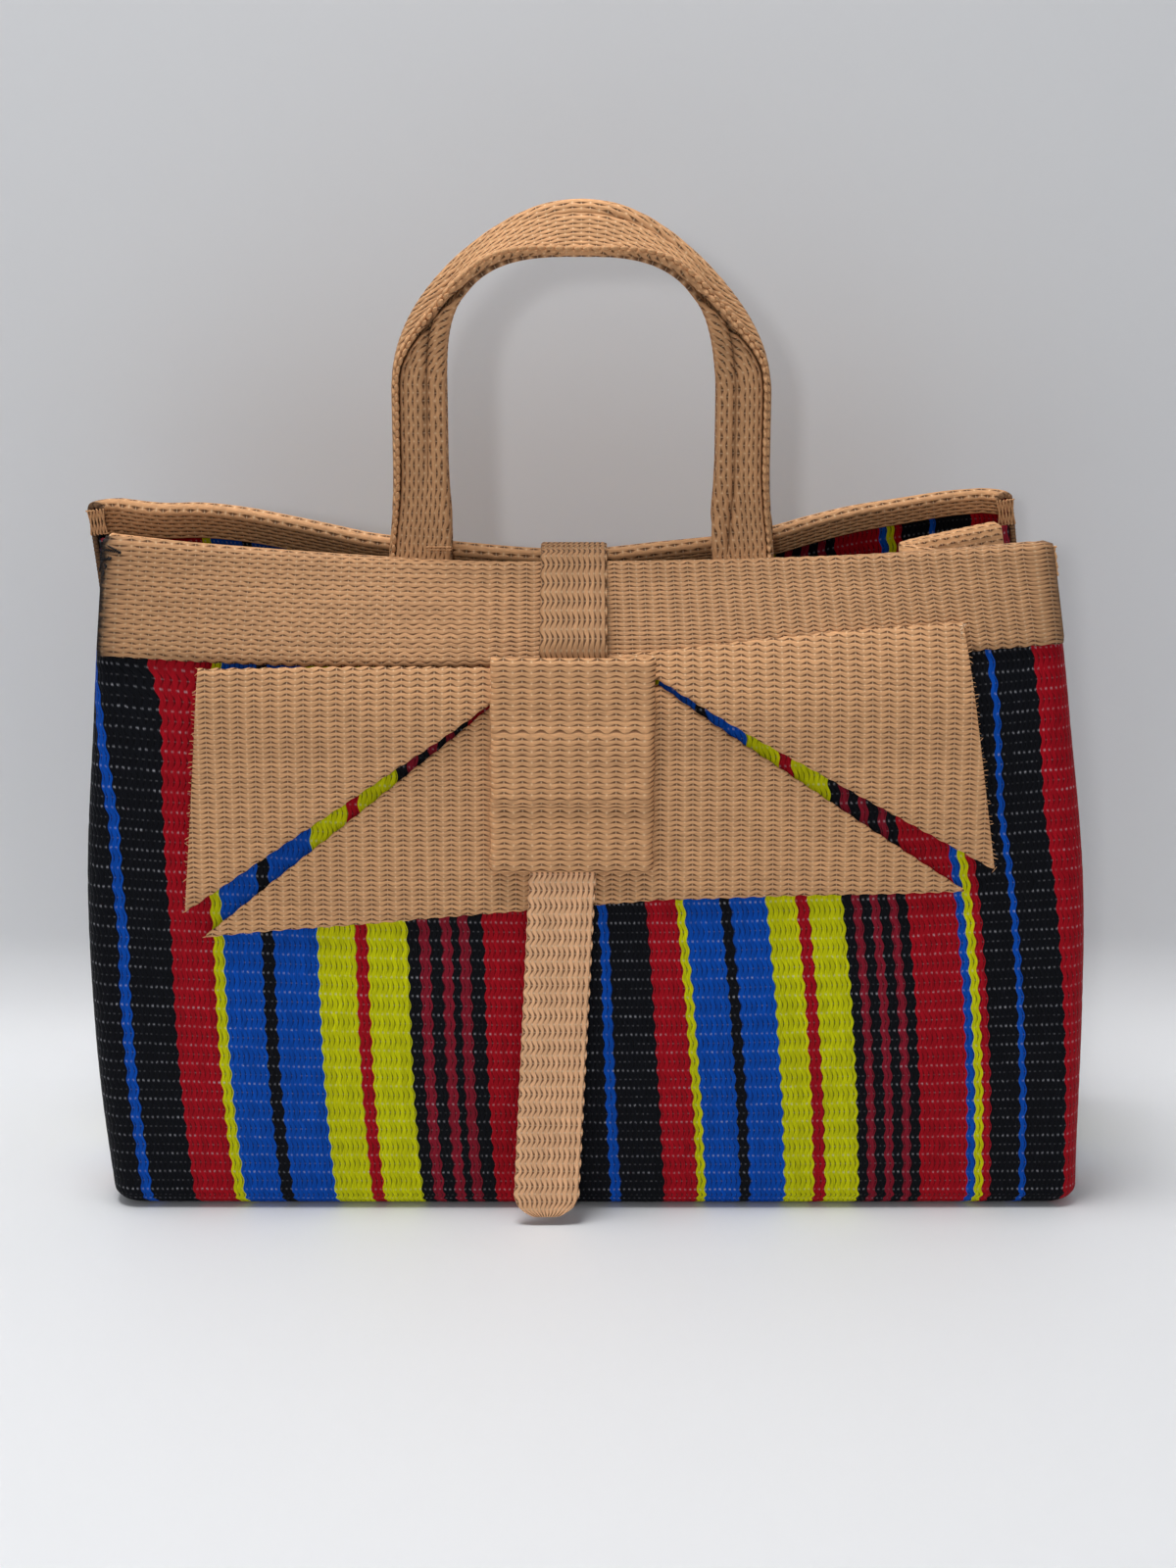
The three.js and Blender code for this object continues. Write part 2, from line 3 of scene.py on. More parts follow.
import bpy
import numpy as np
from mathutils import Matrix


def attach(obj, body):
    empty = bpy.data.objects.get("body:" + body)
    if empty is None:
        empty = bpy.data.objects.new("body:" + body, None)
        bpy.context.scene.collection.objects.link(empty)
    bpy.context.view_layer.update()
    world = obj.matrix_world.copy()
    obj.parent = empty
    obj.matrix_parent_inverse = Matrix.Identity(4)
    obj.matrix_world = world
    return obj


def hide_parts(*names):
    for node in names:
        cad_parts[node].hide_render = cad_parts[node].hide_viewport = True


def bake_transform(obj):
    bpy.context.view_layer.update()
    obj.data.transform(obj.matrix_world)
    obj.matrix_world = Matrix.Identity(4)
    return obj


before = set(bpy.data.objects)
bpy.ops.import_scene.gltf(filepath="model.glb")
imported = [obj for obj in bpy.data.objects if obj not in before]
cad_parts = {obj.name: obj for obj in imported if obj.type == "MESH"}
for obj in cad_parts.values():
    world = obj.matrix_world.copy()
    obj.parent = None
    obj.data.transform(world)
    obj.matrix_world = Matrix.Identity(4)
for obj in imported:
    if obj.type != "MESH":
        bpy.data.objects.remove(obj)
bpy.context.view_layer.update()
scene = bpy.context.scene

# Camera: stands 0.9 m in front of the bag, a little above its handle, and looks
# down at it by 16 degrees.
camera_data = bpy.data.cameras.new("camera")
camera_data.lens = 54
camera_data.sensor_width = 36
camera = bpy.data.objects.new("camera", camera_data)
camera.location = (0, -0.901, 0.416)
camera.rotation_euler = (math.radians(90 - 16), 0, 0)
scene.collection.objects.link(camera)
scene.camera = camera


# Front and back panels: striped warp-faced fabric, cut with the stripes upright. Each
# runs round the base edge and both corners, and its rim is closed into the band.
# Shapes are worked out in millimetres and stored in metres.
MM = 0.001
FRONT, BACK = -1, 1
fabric_thickness = 1.4
base_depth = 110
base_half_width = 190
face_heights = [0, 0.25, 0.5, 0.75, 1]
face_half_width = [base_half_width, 191.2, 190, 183.5, 176.8]
base_shift = 2.8
back_rim_extra_width = 4.2
rim_shift = {FRONT: -4, BACK: -15.2}
base_edge_radius = 6
corner_radius = 9
rim_height = 249.5
back_rim_rise = 2
corner_rise = 12
rim_sag = 2.8
rim_opening = 2
lift_places = [-1, -0.9, -0.8, -0.7, -0.6, -0.5, -0.4, -0.2, 0, 0.12, 0.25, 0.5, 0.6, 0.7, 0.8, 0.92, 1]
rim_lift = {FRONT: [0, 0, 0, 0, 0, 0, 0, 0, 0, 0, 0, -0.3, -0.6, -1, -1.3, -1.7, -2],
            BACK: [-0.5, 1.5, 5, 6.3, 5.8, 4.5, 2.8, 1.8, 0, 0, 1.4, 2.6, 4.3, 5.4, 5.3, 4.9, 3.5]}
back_bow = 9
back_bow_from = 0.42
corner_share = 0.06
base_share = 0.08
wall_foot = fabric_thickness / 2 + base_edge_radius
half_depth = base_depth / 2
profile_heights = [0, 0.25, 0.5, 0.7, 0.84, 1]
profile_middle = {
    FRONT: [half_depth, half_depth + 2, half_depth - 3.5, half_depth - 9.5, half_depth - 16.5, 7.6],
    BACK: [half_depth, half_depth + 2, half_depth - 3.5, half_depth - 9.5, half_depth - 16.5, 4.3],
}
profile_corner = [half_depth - 0.5, half_depth - 0.5, half_depth - 3, half_depth - 6, half_depth - 9, 38]


def through(positions, values, at):
    """Smooth curve through values given at rising positions."""
    last = len(positions) - 1
    at = np.asarray(at, float)
    positions, values = np.asarray(positions, float), np.asarray(values, float)
    after = np.minimum(np.arange(last + 1) + 1, last)
    before = np.maximum(np.arange(last + 1) - 1, 0)
    slopes = (values[after] - values[before]) / (positions[after] - positions[before])
    k = np.clip(np.searchsorted(positions[1:-1], at), 0, last - 1)
    width = positions[k + 1] - positions[k]
    t = (at - positions[k]) / width
    return ((2 * t**3 - 3 * t**2 + 1) * values[k] + (t**3 - 2 * t**2 + t) * width * slopes[k]
            + (3 * t**2 - 2 * t**3) * values[k + 1] + (t**3 - t**2) * width * slopes[k + 1])


def part_way(value, low, high):
    """How far a value has come from low to high, from 0 to 1."""
    return np.clip((value - low) / (high - low), 0, 1)


def bell(distance, reach):
    """Smooth bump, 1 at its middle and nearly 0 at twice its reach."""
    return np.exp(-((distance / reach) ** 2))


def slack(x, z):
    """Slow unevenness of soft cloth, in mm, that every layer of a side shares.

    It dies out behind the knot, at the foot and towards the rim."""
    waves = (0.5 * np.sin(x / 31 + 0.9) * np.sin(z / 47 + 0.4) + 0.35 * np.sin(x / 17 - z / 60 + 2)
             + 0.25 * np.sin(x / 11 + z / 35))
    beside_knot = 1 - bell(x + 5, 60)
    above_foot = part_way(z, 0, 30)
    below_rim = 1 - part_way(z, 190, 250)
    return waves * beside_knot * above_foot * below_rim


def stand_out(side, s, h):
    """How far a side stands out from the middle plane, s across and h up its face."""
    middle = through(profile_heights, profile_middle[side], h)
    corner = through(profile_heights, profile_corner, h)
    out = middle + (corner - middle) * np.abs(s) ** rim_opening
    if side == BACK:
        out = out + back_bow * np.sin(np.pi * part_way(s, back_bow_from, 1)) * h**4
    return out + slack(s * base_half_width, h * rim_height)


def half_width(side, h):
    """Half the width of a side at h up its face, round both corners."""
    extra = back_rim_extra_width if side == BACK else 0
    return through(face_heights, face_half_width, h) + extra * h**3


def middle_line(side, h):
    """Where the middle of a side lies in x at h up its face."""
    return rim_shift[side] * h * h + base_shift * (1 - h) ** 6


def height_of(side, s, h):
    """Height above the floor of a place on a side's face."""
    rim = rim_height + (back_rim_rise if side == BACK else 0)
    out_from_middle = np.abs(s) ** rim_opening
    rim = rim + corner_rise * out_from_middle - rim_sag * (1 - out_from_middle)
    rim = rim + through(lift_places, rim_lift[side], s)
    return wall_foot + h * (rim - wall_foot)


def face_shares(u, v):
    """Shares s across and h up the face, and how far round a corner, from 0 to 1."""
    reach = np.abs(u)
    s = np.sign(u) * np.minimum(reach / (1 - corner_share), 1)
    h = np.maximum(v - base_share, 0) / (1 - base_share)
    return s, h, np.maximum(reach - (1 - corner_share), 0) / corner_share


def panel_point(side, u, v):
    """Point of a side: u from -1 to 1 over the face and round both corners, v up it."""
    u, v = np.broadcast_arrays(np.asarray(u, float), np.asarray(v, float))
    s, h, round_corner = face_shares(u, v)
    turn = round_corner * np.pi / 2
    climb = part_way(v, 0, base_share) * np.pi / 2
    inset = base_edge_radius * (1 - np.sin(climb))
    drop = base_edge_radius * np.cos(climb)
    x = (middle_line(side, h) + s * (half_width(side, h) - inset - corner_radius)
         + np.sign(u) * corner_radius * np.sin(turn))
    out = stand_out(side, s, h) - inset - corner_radius * (1 - np.cos(turn))
    return np.stack([x, side * out, height_of(side, s, h) - drop], axis=-1)


def unit(vectors):
    """Vectors scaled to a length of 1."""
    return vectors / np.linalg.norm(vectors, axis=-1, keepdims=True)


def panel_frame(side, u, v):
    """Point, outward normal and upward tangent of a side."""
    step = 1e-3
    point = panel_point(side, u, v)
    right, left = np.minimum(u + step, 1), np.maximum(u - step, -1)
    across = panel_point(side, right, v) - panel_point(side, left, v)
    up = unit(panel_point(side, u, np.minimum(v + step, 1)) - panel_point(side, u, v - step))
    normal = unit(np.cross(across, up))
    normal = normal * np.sign(normal[..., 1:2] * side)
    return point, normal, up


def rim_scale(side, u):
    """Length up a side per unit of v near its rim."""
    near = 0.04
    return float(np.linalg.norm(panel_point(side, u, 1) - panel_point(side, u, 1 - near))) / near


# The stripes aren't quite upright: they lean left towards the top, each by its own
# measure in mm at the heights given, and fan out under the rim.
stripe_half_width = 181
corner_stripes = 14
top_lean = 9.5
top_lean_from = 0.42
lean_heights = [0.04, 0.15, 0.24, 0.34, 0.41, 0.6, 0.75, 0.84, 1]
lean_right = [-0.8, -0.3, 0.9, 2.3, 3.8, 4.3, 3, 2, 1]
right_lean_places = (0, 0.2)
lean_left_edge = [0, 0, 0, 0, -0.6, 0.5, 9.6, 15.3, 17]
left_edge_places = (-0.834, -1.004)
rim_fan_places = [-0.9, -0.75, -0.6, 0, 0.15, 0.9]
rim_fan = [-4, -3, 0, 0, 3.5, -3]
rim_fan_heights = (0.62, 0.77)


def warp_place(u, v):
    """Where in the stripe plan a point of a side lies, in mm from the middle."""
    s, h, round_corner = face_shares(u, v)
    lean = top_lean * part_way(h, top_lean_from, 1)
    lean = lean + np.interp(h, lean_heights, lean_right) * part_way(s, *right_lean_places)
    lean = lean + np.interp(h, lean_heights, lean_left_edge) * part_way(s, *left_edge_places)
    lean = lean + np.interp(s, rim_fan_places, rim_fan) * part_way(h, *rim_fan_heights)
    return s * stripe_half_width + lean + np.sign(u) * round_corner * corner_stripes


def stations(length, step, edge=(0.2, 0.6)):
    """Shares of a length at even steps, with closer ones beside both ends."""
    count = max(int(round((length - 2 * edge[-1]) / step)), 1)
    inner = np.linspace(edge[-1], length - edge[-1], count + 1)
    ends = np.array([0, *edge[:-1]])
    return np.concatenate([ends, inner, length - ends[::-1]]) / length


def woven_sheet(name, middle, lay, thickness, back_step=1, shown=1.0, dirt_and_shade=0.0, stagger=0.0):
    """Closed mesh of a cloth strip from a grid of points on its middle surface.

    lay holds, for each point, the distances along and across the warp. Every
    back_step-th row of the other face is kept, and its weave stays flat where that is
    more than 1. shown is how far the weave stands out, the next argument how far each
    point is darkened, for dirt and for painted shade, and stagger how far its yarns bind
    in turn."""
    edge_round, edge_relief = 0.85, 0.4
    rows, columns = middle.shape[:2]
    normal = unit(np.cross(np.gradient(middle, axis=0), np.gradient(middle, axis=1)))
    width = np.linalg.norm(np.diff(middle, axis=0), axis=-1)
    run = np.concatenate([np.zeros((1, columns)), np.cumsum(width, axis=0)])
    from_edge = np.minimum(run, run[-1] - run)
    round_off = np.clip(1 - from_edge / (thickness / 2), 0, edge_round)
    half = (thickness / 2 * np.sqrt(1 - round_off**2))[..., None]
    kept = np.unique(np.append(np.arange(0, rows, back_step), rows - 1))
    face = middle + normal * half
    other = (middle - normal * half)[kept][::-1]
    ring = np.concatenate([face, other])
    back_shown = 0.0 if back_step > 1 else shown
    relief = np.concatenate([np.full((rows, columns), shown), np.full((len(kept), columns), back_shown)])
    relief[[0, rows - 1, rows, -1]] *= edge_relief
    relief[:, [0, -1]] *= edge_relief
    lays = np.concatenate([lay, lay[kept][::-1]])
    index = np.arange(len(ring) * columns).reshape(len(ring), columns)
    following = np.roll(index, -1, axis=0)
    quads = np.stack([index[:, :-1], following[:, :-1], following[:, 1:], index[:, 1:]], axis=-1)
    quads = quads.reshape(-1, 4)
    faces = quads.tolist()
    for k in range(len(kept) - 1):
        low, high = kept[k], kept[k + 1]
        back_low, back_high = rows + len(kept) - 1 - k, rows + len(kept) - 2 - k
        cap = [*range(low, high + 1), back_high, back_low]
        faces.append([int(index[i, 0]) for i in cap[::-1]])
        faces.append([int(index[i, -1]) for i in cap])
    points = ring.reshape(-1, 3) * MM
    a, b, c = (points[quads[:, i]] for i in (0, 1, 2))
    inside_out = np.einsum("ij,ij->", a, np.cross(b, c)) < 0
    if inside_out:
        faces = [face_points[::-1] for face_points in faces]
    mesh = bpy.data.meshes.new(name)
    mesh.from_pydata(points.tolist(), [], faces)
    mesh.shade_smooth()
    stored = mesh.attributes.new("lay", "FLOAT_VECTOR", "POINT")
    stored.data.foreach_set("vector", np.concatenate(
        [lays.reshape(-1, 2) * MM, relief.reshape(-1, 1)], axis=1).astype(np.float32).ravel())
    for label, amount in (("dirt_and_shade", dirt_and_shade), ("stagger", stagger)):
        grid = np.broadcast_to(np.asarray(amount, float), (rows, columns))
        both_faces = np.concatenate([grid, grid[kept][::-1]]).astype(np.float32)
        mesh.attributes.new(label, "FLOAT", "POINT").data.foreach_set("value", both_faces.ravel())
    piece = bpy.data.objects.new(name, mesh)
    scene.collection.objects.link(piece)
    return piece


def colour(r, g, b):
    """Linear colour from the 0 to 255 values of a screen."""
    def linear(value):
        share = value / 255
        return share / 12.92 if share <= 0.04045 else ((share + 0.055) / 1.055) ** 2.4
    return (linear(r), linear(g), linear(b), 1)


def feed(tree, socket, value):
    """Links an output to an input, or sets the input to a number or a colour."""
    if isinstance(value, bpy.types.NodeSocket):
        tree.links.new(value, socket)
    else:
        socket.default_value = value


def place_node(tree, kind, inputs=None, **settings):
    """New node with its properties, and its inputs by name or number, set or linked."""
    node = tree.nodes.new(kind)
    for key, value in settings.items():
        setattr(node, key, value)
    for key, value in (inputs or {}).items():
        feed(tree, node.inputs[key], value)
    return node


def maths(tree, operation, *values, clamp=False):
    """Output of one math node."""
    return place_node(tree, "ShaderNodeMath", dict(enumerate(values)),
                      operation=operation, use_clamp=clamp).outputs[0]


def yarn_maths(tree, lay, stagger, yarn, pick, sway):
    """Weave rule that mesh and material share.

    Warp yarns run side by side and sway together from pick to pick, less so where they
    are staggered. Where stagger is 0 the slits between them open and close in step, and
    where it is 1 every second one opens while its neighbours close. Gives the swayed
    place across the warp, the yarn's number, how far the nearest gap is, from 0 to 1 at
    a yarn's middle, how near that gap is to its pick, and the phase between picks."""
    staggered_sway = 0.35
    parts = place_node(tree, "ShaderNodeSeparateXYZ", inputs={0: lay}).outputs
    phase = maths(tree, "MULTIPLY", maths(tree, "DIVIDE", parts[0], pick), math.tau)
    wave = maths(tree, "COSINE", phase)
    in_step = maths(tree, "SUBTRACT", 1, stagger)
    freedom = maths(tree, "MULTIPLY_ADD", in_step, 1 - staggered_sway, staggered_sway)
    swaying = maths(tree, "MULTIPLY", sway, freedom)
    across = maths(tree, "ADD", parts[1], maths(tree, "MULTIPLY", wave, swaying))
    counted = maths(tree, "DIVIDE", across, yarn)
    gap = maths(tree, "ROUND", counted)
    every_second = maths(tree, "COSINE", maths(tree, "MULTIPLY", gap, math.pi))
    in_turn = maths(tree, "MULTIPLY", every_second, stagger)
    beyond_gap = maths(tree, "SUBTRACT", counted, gap)
    past_gap = maths(tree, "GREATER_THAN", beyond_gap, 0)
    number = maths(tree, "ADD", maths(tree, "SUBTRACT", gap, 1), past_gap)
    to_gap = maths(tree, "MULTIPLY", maths(tree, "ABSOLUTE", beyond_gap), 2, clamp=True)
    here = maths(tree, "MULTIPLY", wave, maths(tree, "ADD", in_step, in_turn))
    near_pick = maths(tree, "MULTIPLY_ADD", here, 0.5, 0.5)
    return across, number, to_gap, near_pick, phase


def yarn_height(tree, stagger, to_gap, near_pick):
    """Height of the cloth's face: round over each yarn and pressed in where it binds."""
    edge_height, pressed_in = 0.02, 0.33
    closed = maths(tree, "MULTIPLY", maths(tree, "MULTIPLY", near_pick, stagger), 0.5)
    from_middle = maths(tree, "MULTIPLY", maths(tree, "SUBTRACT", 1, to_gap),
                        maths(tree, "SUBTRACT", 1, closed))
    fall = maths(tree, "MULTIPLY", from_middle, from_middle)
    crown = maths(tree, "SQRT", maths(tree, "SUBTRACT", 1 + edge_height, fall))
    whole_yarn = maths(tree, "SUBTRACT", 1, maths(tree, "MULTIPLY", stagger, to_gap))
    bound = maths(tree, "MULTIPLY", maths(tree, "MULTIPLY", near_pick, whole_yarn), pressed_in)
    return maths(tree, "SUBTRACT", crown, bound)


def sockets(tree, ins, outs):
    """Adds named inputs, with their kind and default, and named outputs to a node tree.

    Gives the sockets inside the tree that carry the inputs in and take the outputs."""
    for name, (kind, default) in ins.items():
        socket = tree.interface.new_socket(name=name, in_out="INPUT", socket_type=kind)
        if default is not None:
            socket.default_value = default
    for name, kind in outs.items():
        tree.interface.new_socket(name=name, in_out="OUTPUT", socket_type=kind)
    return tree.nodes.new("NodeGroupInput").outputs, tree.nodes.new("NodeGroupOutput").inputs


def build_weave_relief():
    """Node tree that raises every yarn of a cloth strip and presses it in at its picks.

    The third part of the lay says how far the relief stands out at each point."""
    tree = bpy.data.node_groups.new("weave relief", "GeometryNodeTree")
    ins, outs = sockets(tree, {
        "Cloth": ("NodeSocketGeometry", None),
        "Yarn Width": ("NodeSocketFloat", 0.002),
        "Pick Spacing": ("NodeSocketFloat", 0.007),
        "Sway": ("NodeSocketFloat", 0.0003),
        "Relief": ("NodeSocketFloat", 0.0003),
        "Finish": ("NodeSocketMaterial", None),
    }, {"Cloth": "NodeSocketGeometry"})
    lay = place_node(tree, "GeometryNodeInputNamedAttribute", data_type="FLOAT_VECTOR",
                     inputs={"Name": "lay"}).outputs["Attribute"]
    stagger = place_node(tree, "GeometryNodeInputNamedAttribute", data_type="FLOAT",
                         inputs={"Name": "stagger"}).outputs["Attribute"]
    _, _, to_gap, near_pick, _ = yarn_maths(
        tree, lay, stagger, ins["Yarn Width"], ins["Pick Spacing"], ins["Sway"])
    pressed = yarn_height(tree, stagger, to_gap, near_pick)
    weight = place_node(tree, "ShaderNodeSeparateXYZ", inputs={0: lay}).outputs[2]
    lift = maths(tree, "MULTIPLY", maths(tree, "MULTIPLY", pressed, ins["Relief"]), weight)
    normal = place_node(tree, "GeometryNodeInputNormal").outputs[0]
    offset = place_node(tree, "ShaderNodeVectorMath", operation="SCALE",
                        inputs={0: normal, "Scale": lift}).outputs[0]
    moved = place_node(tree, "GeometryNodeSetPosition",
                       inputs={"Geometry": ins["Cloth"], "Offset": offset})
    whole = place_node(tree, "GeometryNodeRealizeInstances", inputs={0: moved.outputs[0]})
    finished = place_node(tree, "GeometryNodeSetMaterial",
                          inputs={"Geometry": whole.outputs[0], "Material": ins["Finish"]})
    tree.links.new(finished.outputs[0], outs["Cloth"])
    return tree


weave_relief = build_weave_relief()


def apply_tree(piece, tree, values):
    """Runs a node tree on a piece and keeps the result as its plain mesh."""
    modifier = piece.modifiers.new(tree.name, "NODES")
    modifier.node_group = tree
    identifiers = {item.name: item.identifier for item in tree.interface.items_tree
                   if item.item_type == "SOCKET" and item.in_out == "INPUT"}
    for name, value in values.items():
        modifier[identifiers[name]] = value
    evaluated = piece.evaluated_get(bpy.context.evaluated_depsgraph_get())
    mesh = bpy.data.meshes.new_from_object(evaluated)
    piece.modifiers.remove(modifier)
    piece.data = mesh
    return piece


def build_weave_look():
    """Shader group that gives a warp-faced cloth its yarns, slits and picks.

    Slit is the widest slit as a share of half a yarn, and Dash how far from a gap its
    picks show. Half picks are the smaller ones halfway between two picks."""
    staggered_slit, slit_edge, slit_depth = 0.88, 0.12, 0.8
    open_power, slit_blend = 0.7, 0.2
    pick_power, half_pick_power, dash_edge = 34, 80, 6
    tree = bpy.data.node_groups.new("weave look", "ShaderNodeTree")
    ins, outs = sockets(tree, {
        "Lay": ("NodeSocketVector", None),
        "Yarn Width": ("NodeSocketFloat", 0.002),
        "Pick Spacing": ("NodeSocketFloat", 0.007),
        "Sway": ("NodeSocketFloat", 0.0003),
        "Slit": ("NodeSocketFloat", 0.3),
        "Dash": ("NodeSocketFloat", 0.4),
        "Stagger": ("NodeSocketFloat", 0.0),
    }, {"Across": "NodeSocketFloat", "Slits": "NodeSocketFloat", "Picks": "NodeSocketFloat",
        "Half Picks": "NodeSocketFloat", "Yarn Shade": "NodeSocketFloat", "Float Shade": "NodeSocketFloat",
        "Height": "NodeSocketFloat"})
    across, number, to_gap, near_pick, phase = yarn_maths(
        tree, ins["Lay"], ins["Stagger"], ins["Yarn Width"], ins["Pick Spacing"], ins["Sway"])
    open_here = maths(tree, "POWER", maths(tree, "SUBTRACT", 1, near_pick, clamp=True), open_power)
    narrower = maths(tree, "MULTIPLY_ADD", ins["Stagger"], staggered_slit - 1, 1)
    slit_share = maths(tree, "MULTIPLY", ins["Slit"], narrower)
    slit_width = maths(tree, "MULTIPLY", open_here, slit_share)
    into_slit = maths(tree, "DIVIDE", maths(tree, "SUBTRACT", slit_width, to_gap), slit_edge)
    opened = maths(tree, "SMOOTH_MIN", into_slit, 1, slit_blend, clamp=True)
    slits = maths(tree, "MULTIPLY", opened, open_here, clamp=True)
    near_gap = maths(tree, "MULTIPLY", maths(tree, "SUBTRACT", ins["Dash"], to_gap), dash_edge, clamp=True)
    picks = maths(tree, "MULTIPLY", maths(tree, "POWER", near_pick, pick_power), near_gap, clamp=True)
    far_pick = maths(tree, "POWER", maths(tree, "SUBTRACT", 1, near_pick), half_pick_power)
    half_picks = maths(tree, "MULTIPLY", far_pick, near_gap, clamp=True)
    shade = place_node(tree, "ShaderNodeTexWhiteNoise", noise_dimensions="1D", inputs={"W": number})
    pick_number = maths(tree, "FLOOR", maths(tree, "DIVIDE", phase, math.tau))
    spot = place_node(tree, "ShaderNodeCombineXYZ", inputs={0: number, 1: pick_number})
    float_shade = place_node(tree, "ShaderNodeTexWhiteNoise", noise_dimensions="2D",
                             inputs={"Vector": spot.outputs[0]})
    face = yarn_height(tree, ins["Stagger"], to_gap, near_pick)
    height = maths(tree, "SUBTRACT", face, maths(tree, "MULTIPLY", slits, slit_depth))
    for name, value in (("Across", across), ("Slits", slits), ("Picks", picks),
                        ("Half Picks", half_picks), ("Yarn Shade", shade.outputs["Value"]),
                        ("Float Shade", float_shade.outputs["Value"]), ("Height", height)):
        tree.links.new(value, outs[name])
    return tree


weave_look = build_weave_look()


def build_fibre_streaks():
    """Shader group of fine streaks along the warp, as flat plastic yarns have."""
    tree = bpy.data.node_groups.new("fibre streaks", "ShaderNodeTree")
    ins, outs = sockets(tree, {
        "Lay": ("NodeSocketVector", None),
        "Fineness": ("NodeSocketFloat", 2600.0),
        "Stretch": ("NodeSocketFloat", 0.09),
    }, {"Streaks": "NodeSocketFloat"})
    parts = place_node(tree, "ShaderNodeSeparateXYZ", inputs={0: ins["Lay"]}).outputs
    along = maths(tree, "MULTIPLY", parts[0], ins["Stretch"])
    joined = place_node(tree, "ShaderNodeCombineXYZ", inputs={0: along, 1: parts[1]})
    noise = place_node(tree, "ShaderNodeTexNoise", noise_dimensions="3D",
                       inputs={"Vector": joined.outputs[0], "Scale": ins["Fineness"], "Detail": 1.5})
    tree.links.new(noise.outputs["Fac"], outs["Streaks"])
    return tree


fibre_streaks = build_fibre_streaks()


def mix_colours(tree, kind, share, a, b):
    """Output of one colour mix, with sockets, colours or numbers as inputs."""
    return place_node(tree, "ShaderNodeMix", {0: share, 6: a, 7: b}, data_type="RGBA",
                      blend_type=kind, clamp_result=False).outputs[2]


# The stripe plan as colour and width in mm, from the left edge to the middle and from
# there to the right edge. The widths of each half add up to half_plan.
black = colour(8, 10, 16)
blue = colour(0, 72, 170)
yellow = colour(196, 198, 0)
red = colour(160, 6, 24)
maroon = colour(128, 20, 38)
weft_white = colour(214, 214, 222)
left_plan = [
    (black, 16.6), (blue, 3.3), (black, 16.7), (red, 16.6), (yellow, 3.4), (blue, 14.6), (black, 4.9),
    (blue, 16.2), (yellow, 14.6), (red, 4.9), (yellow, 15.0), (black, 4.5), (maroon, 3.7), (black, 4.5),
    (maroon, 3.8), (black, 3.7), (maroon, 3.7), (black, 4.9), (red, 18.1), (blue, 3.4), (yellow, 2.6),
    (red, 3.0), (black, 12.3)]
right_plan = [
    (black, 5.9), (blue, 3.4), (black, 17.2), (red, 12.7), (yellow, 3.4), (blue, 13.5), (black, 3.7),
    (blue, 13.9), (yellow, 11.6), (red, 4.5), (yellow, 12.7), (black, 3.8), (maroon, 3.0), (black, 4.1),
    (maroon, 3.0), (black, 3.8), (maroon, 2.6), (black, 4.1), (red, 18.1), (blue, 3.4), (yellow, 2.6),
    (red, 3.0), (black, 11.7), (blue, 2.3), (black, 15.5), (red, 11.5)]
half_plan = 195
fabric_yarn_width = 1.95
fabric_pick_spacing = 7
fabric_sway = 0.42
fabric_relief = 0.12


def stripe_ramp(tree, place, plan):
    """Colour ramp of one half of the stripe plan, from its left end to its right end."""
    ramp = place_node(tree, "ShaderNodeValToRGB", inputs={0: place})
    ramp.color_ramp.interpolation = "CONSTANT"
    reached = 0
    for k, (warp, width) in enumerate(plan):
        stop = ramp.color_ramp.elements[k] if k < 2 else ramp.color_ramp.elements.new(reached / half_plan)
        stop.position = reached / half_plan
        stop.color = warp
        reached += width
    return ramp.outputs[0]


def new_material(name):
    """New material, its node tree and its main shader."""
    material = bpy.data.materials.new(name)
    material.use_nodes = True
    return material, material.node_tree, material.node_tree.nodes["Principled BSDF"]


def finish_shader(tree, shader, base, roughness, specular, height, strength, depth):
    """Gives a shader its colour, roughness and gloss, and a bump of a depth in mm."""
    bump = place_node(tree, "ShaderNodeBump",
                      {"Height": height, "Strength": strength, "Distance": depth * MM})
    feed(tree, shader.inputs["Base Color"], base)
    feed(tree, shader.inputs["Roughness"], roughness)
    shader.inputs["Specular IOR Level"].default_value = specular
    feed(tree, shader.inputs["Normal"], bump.outputs[0])


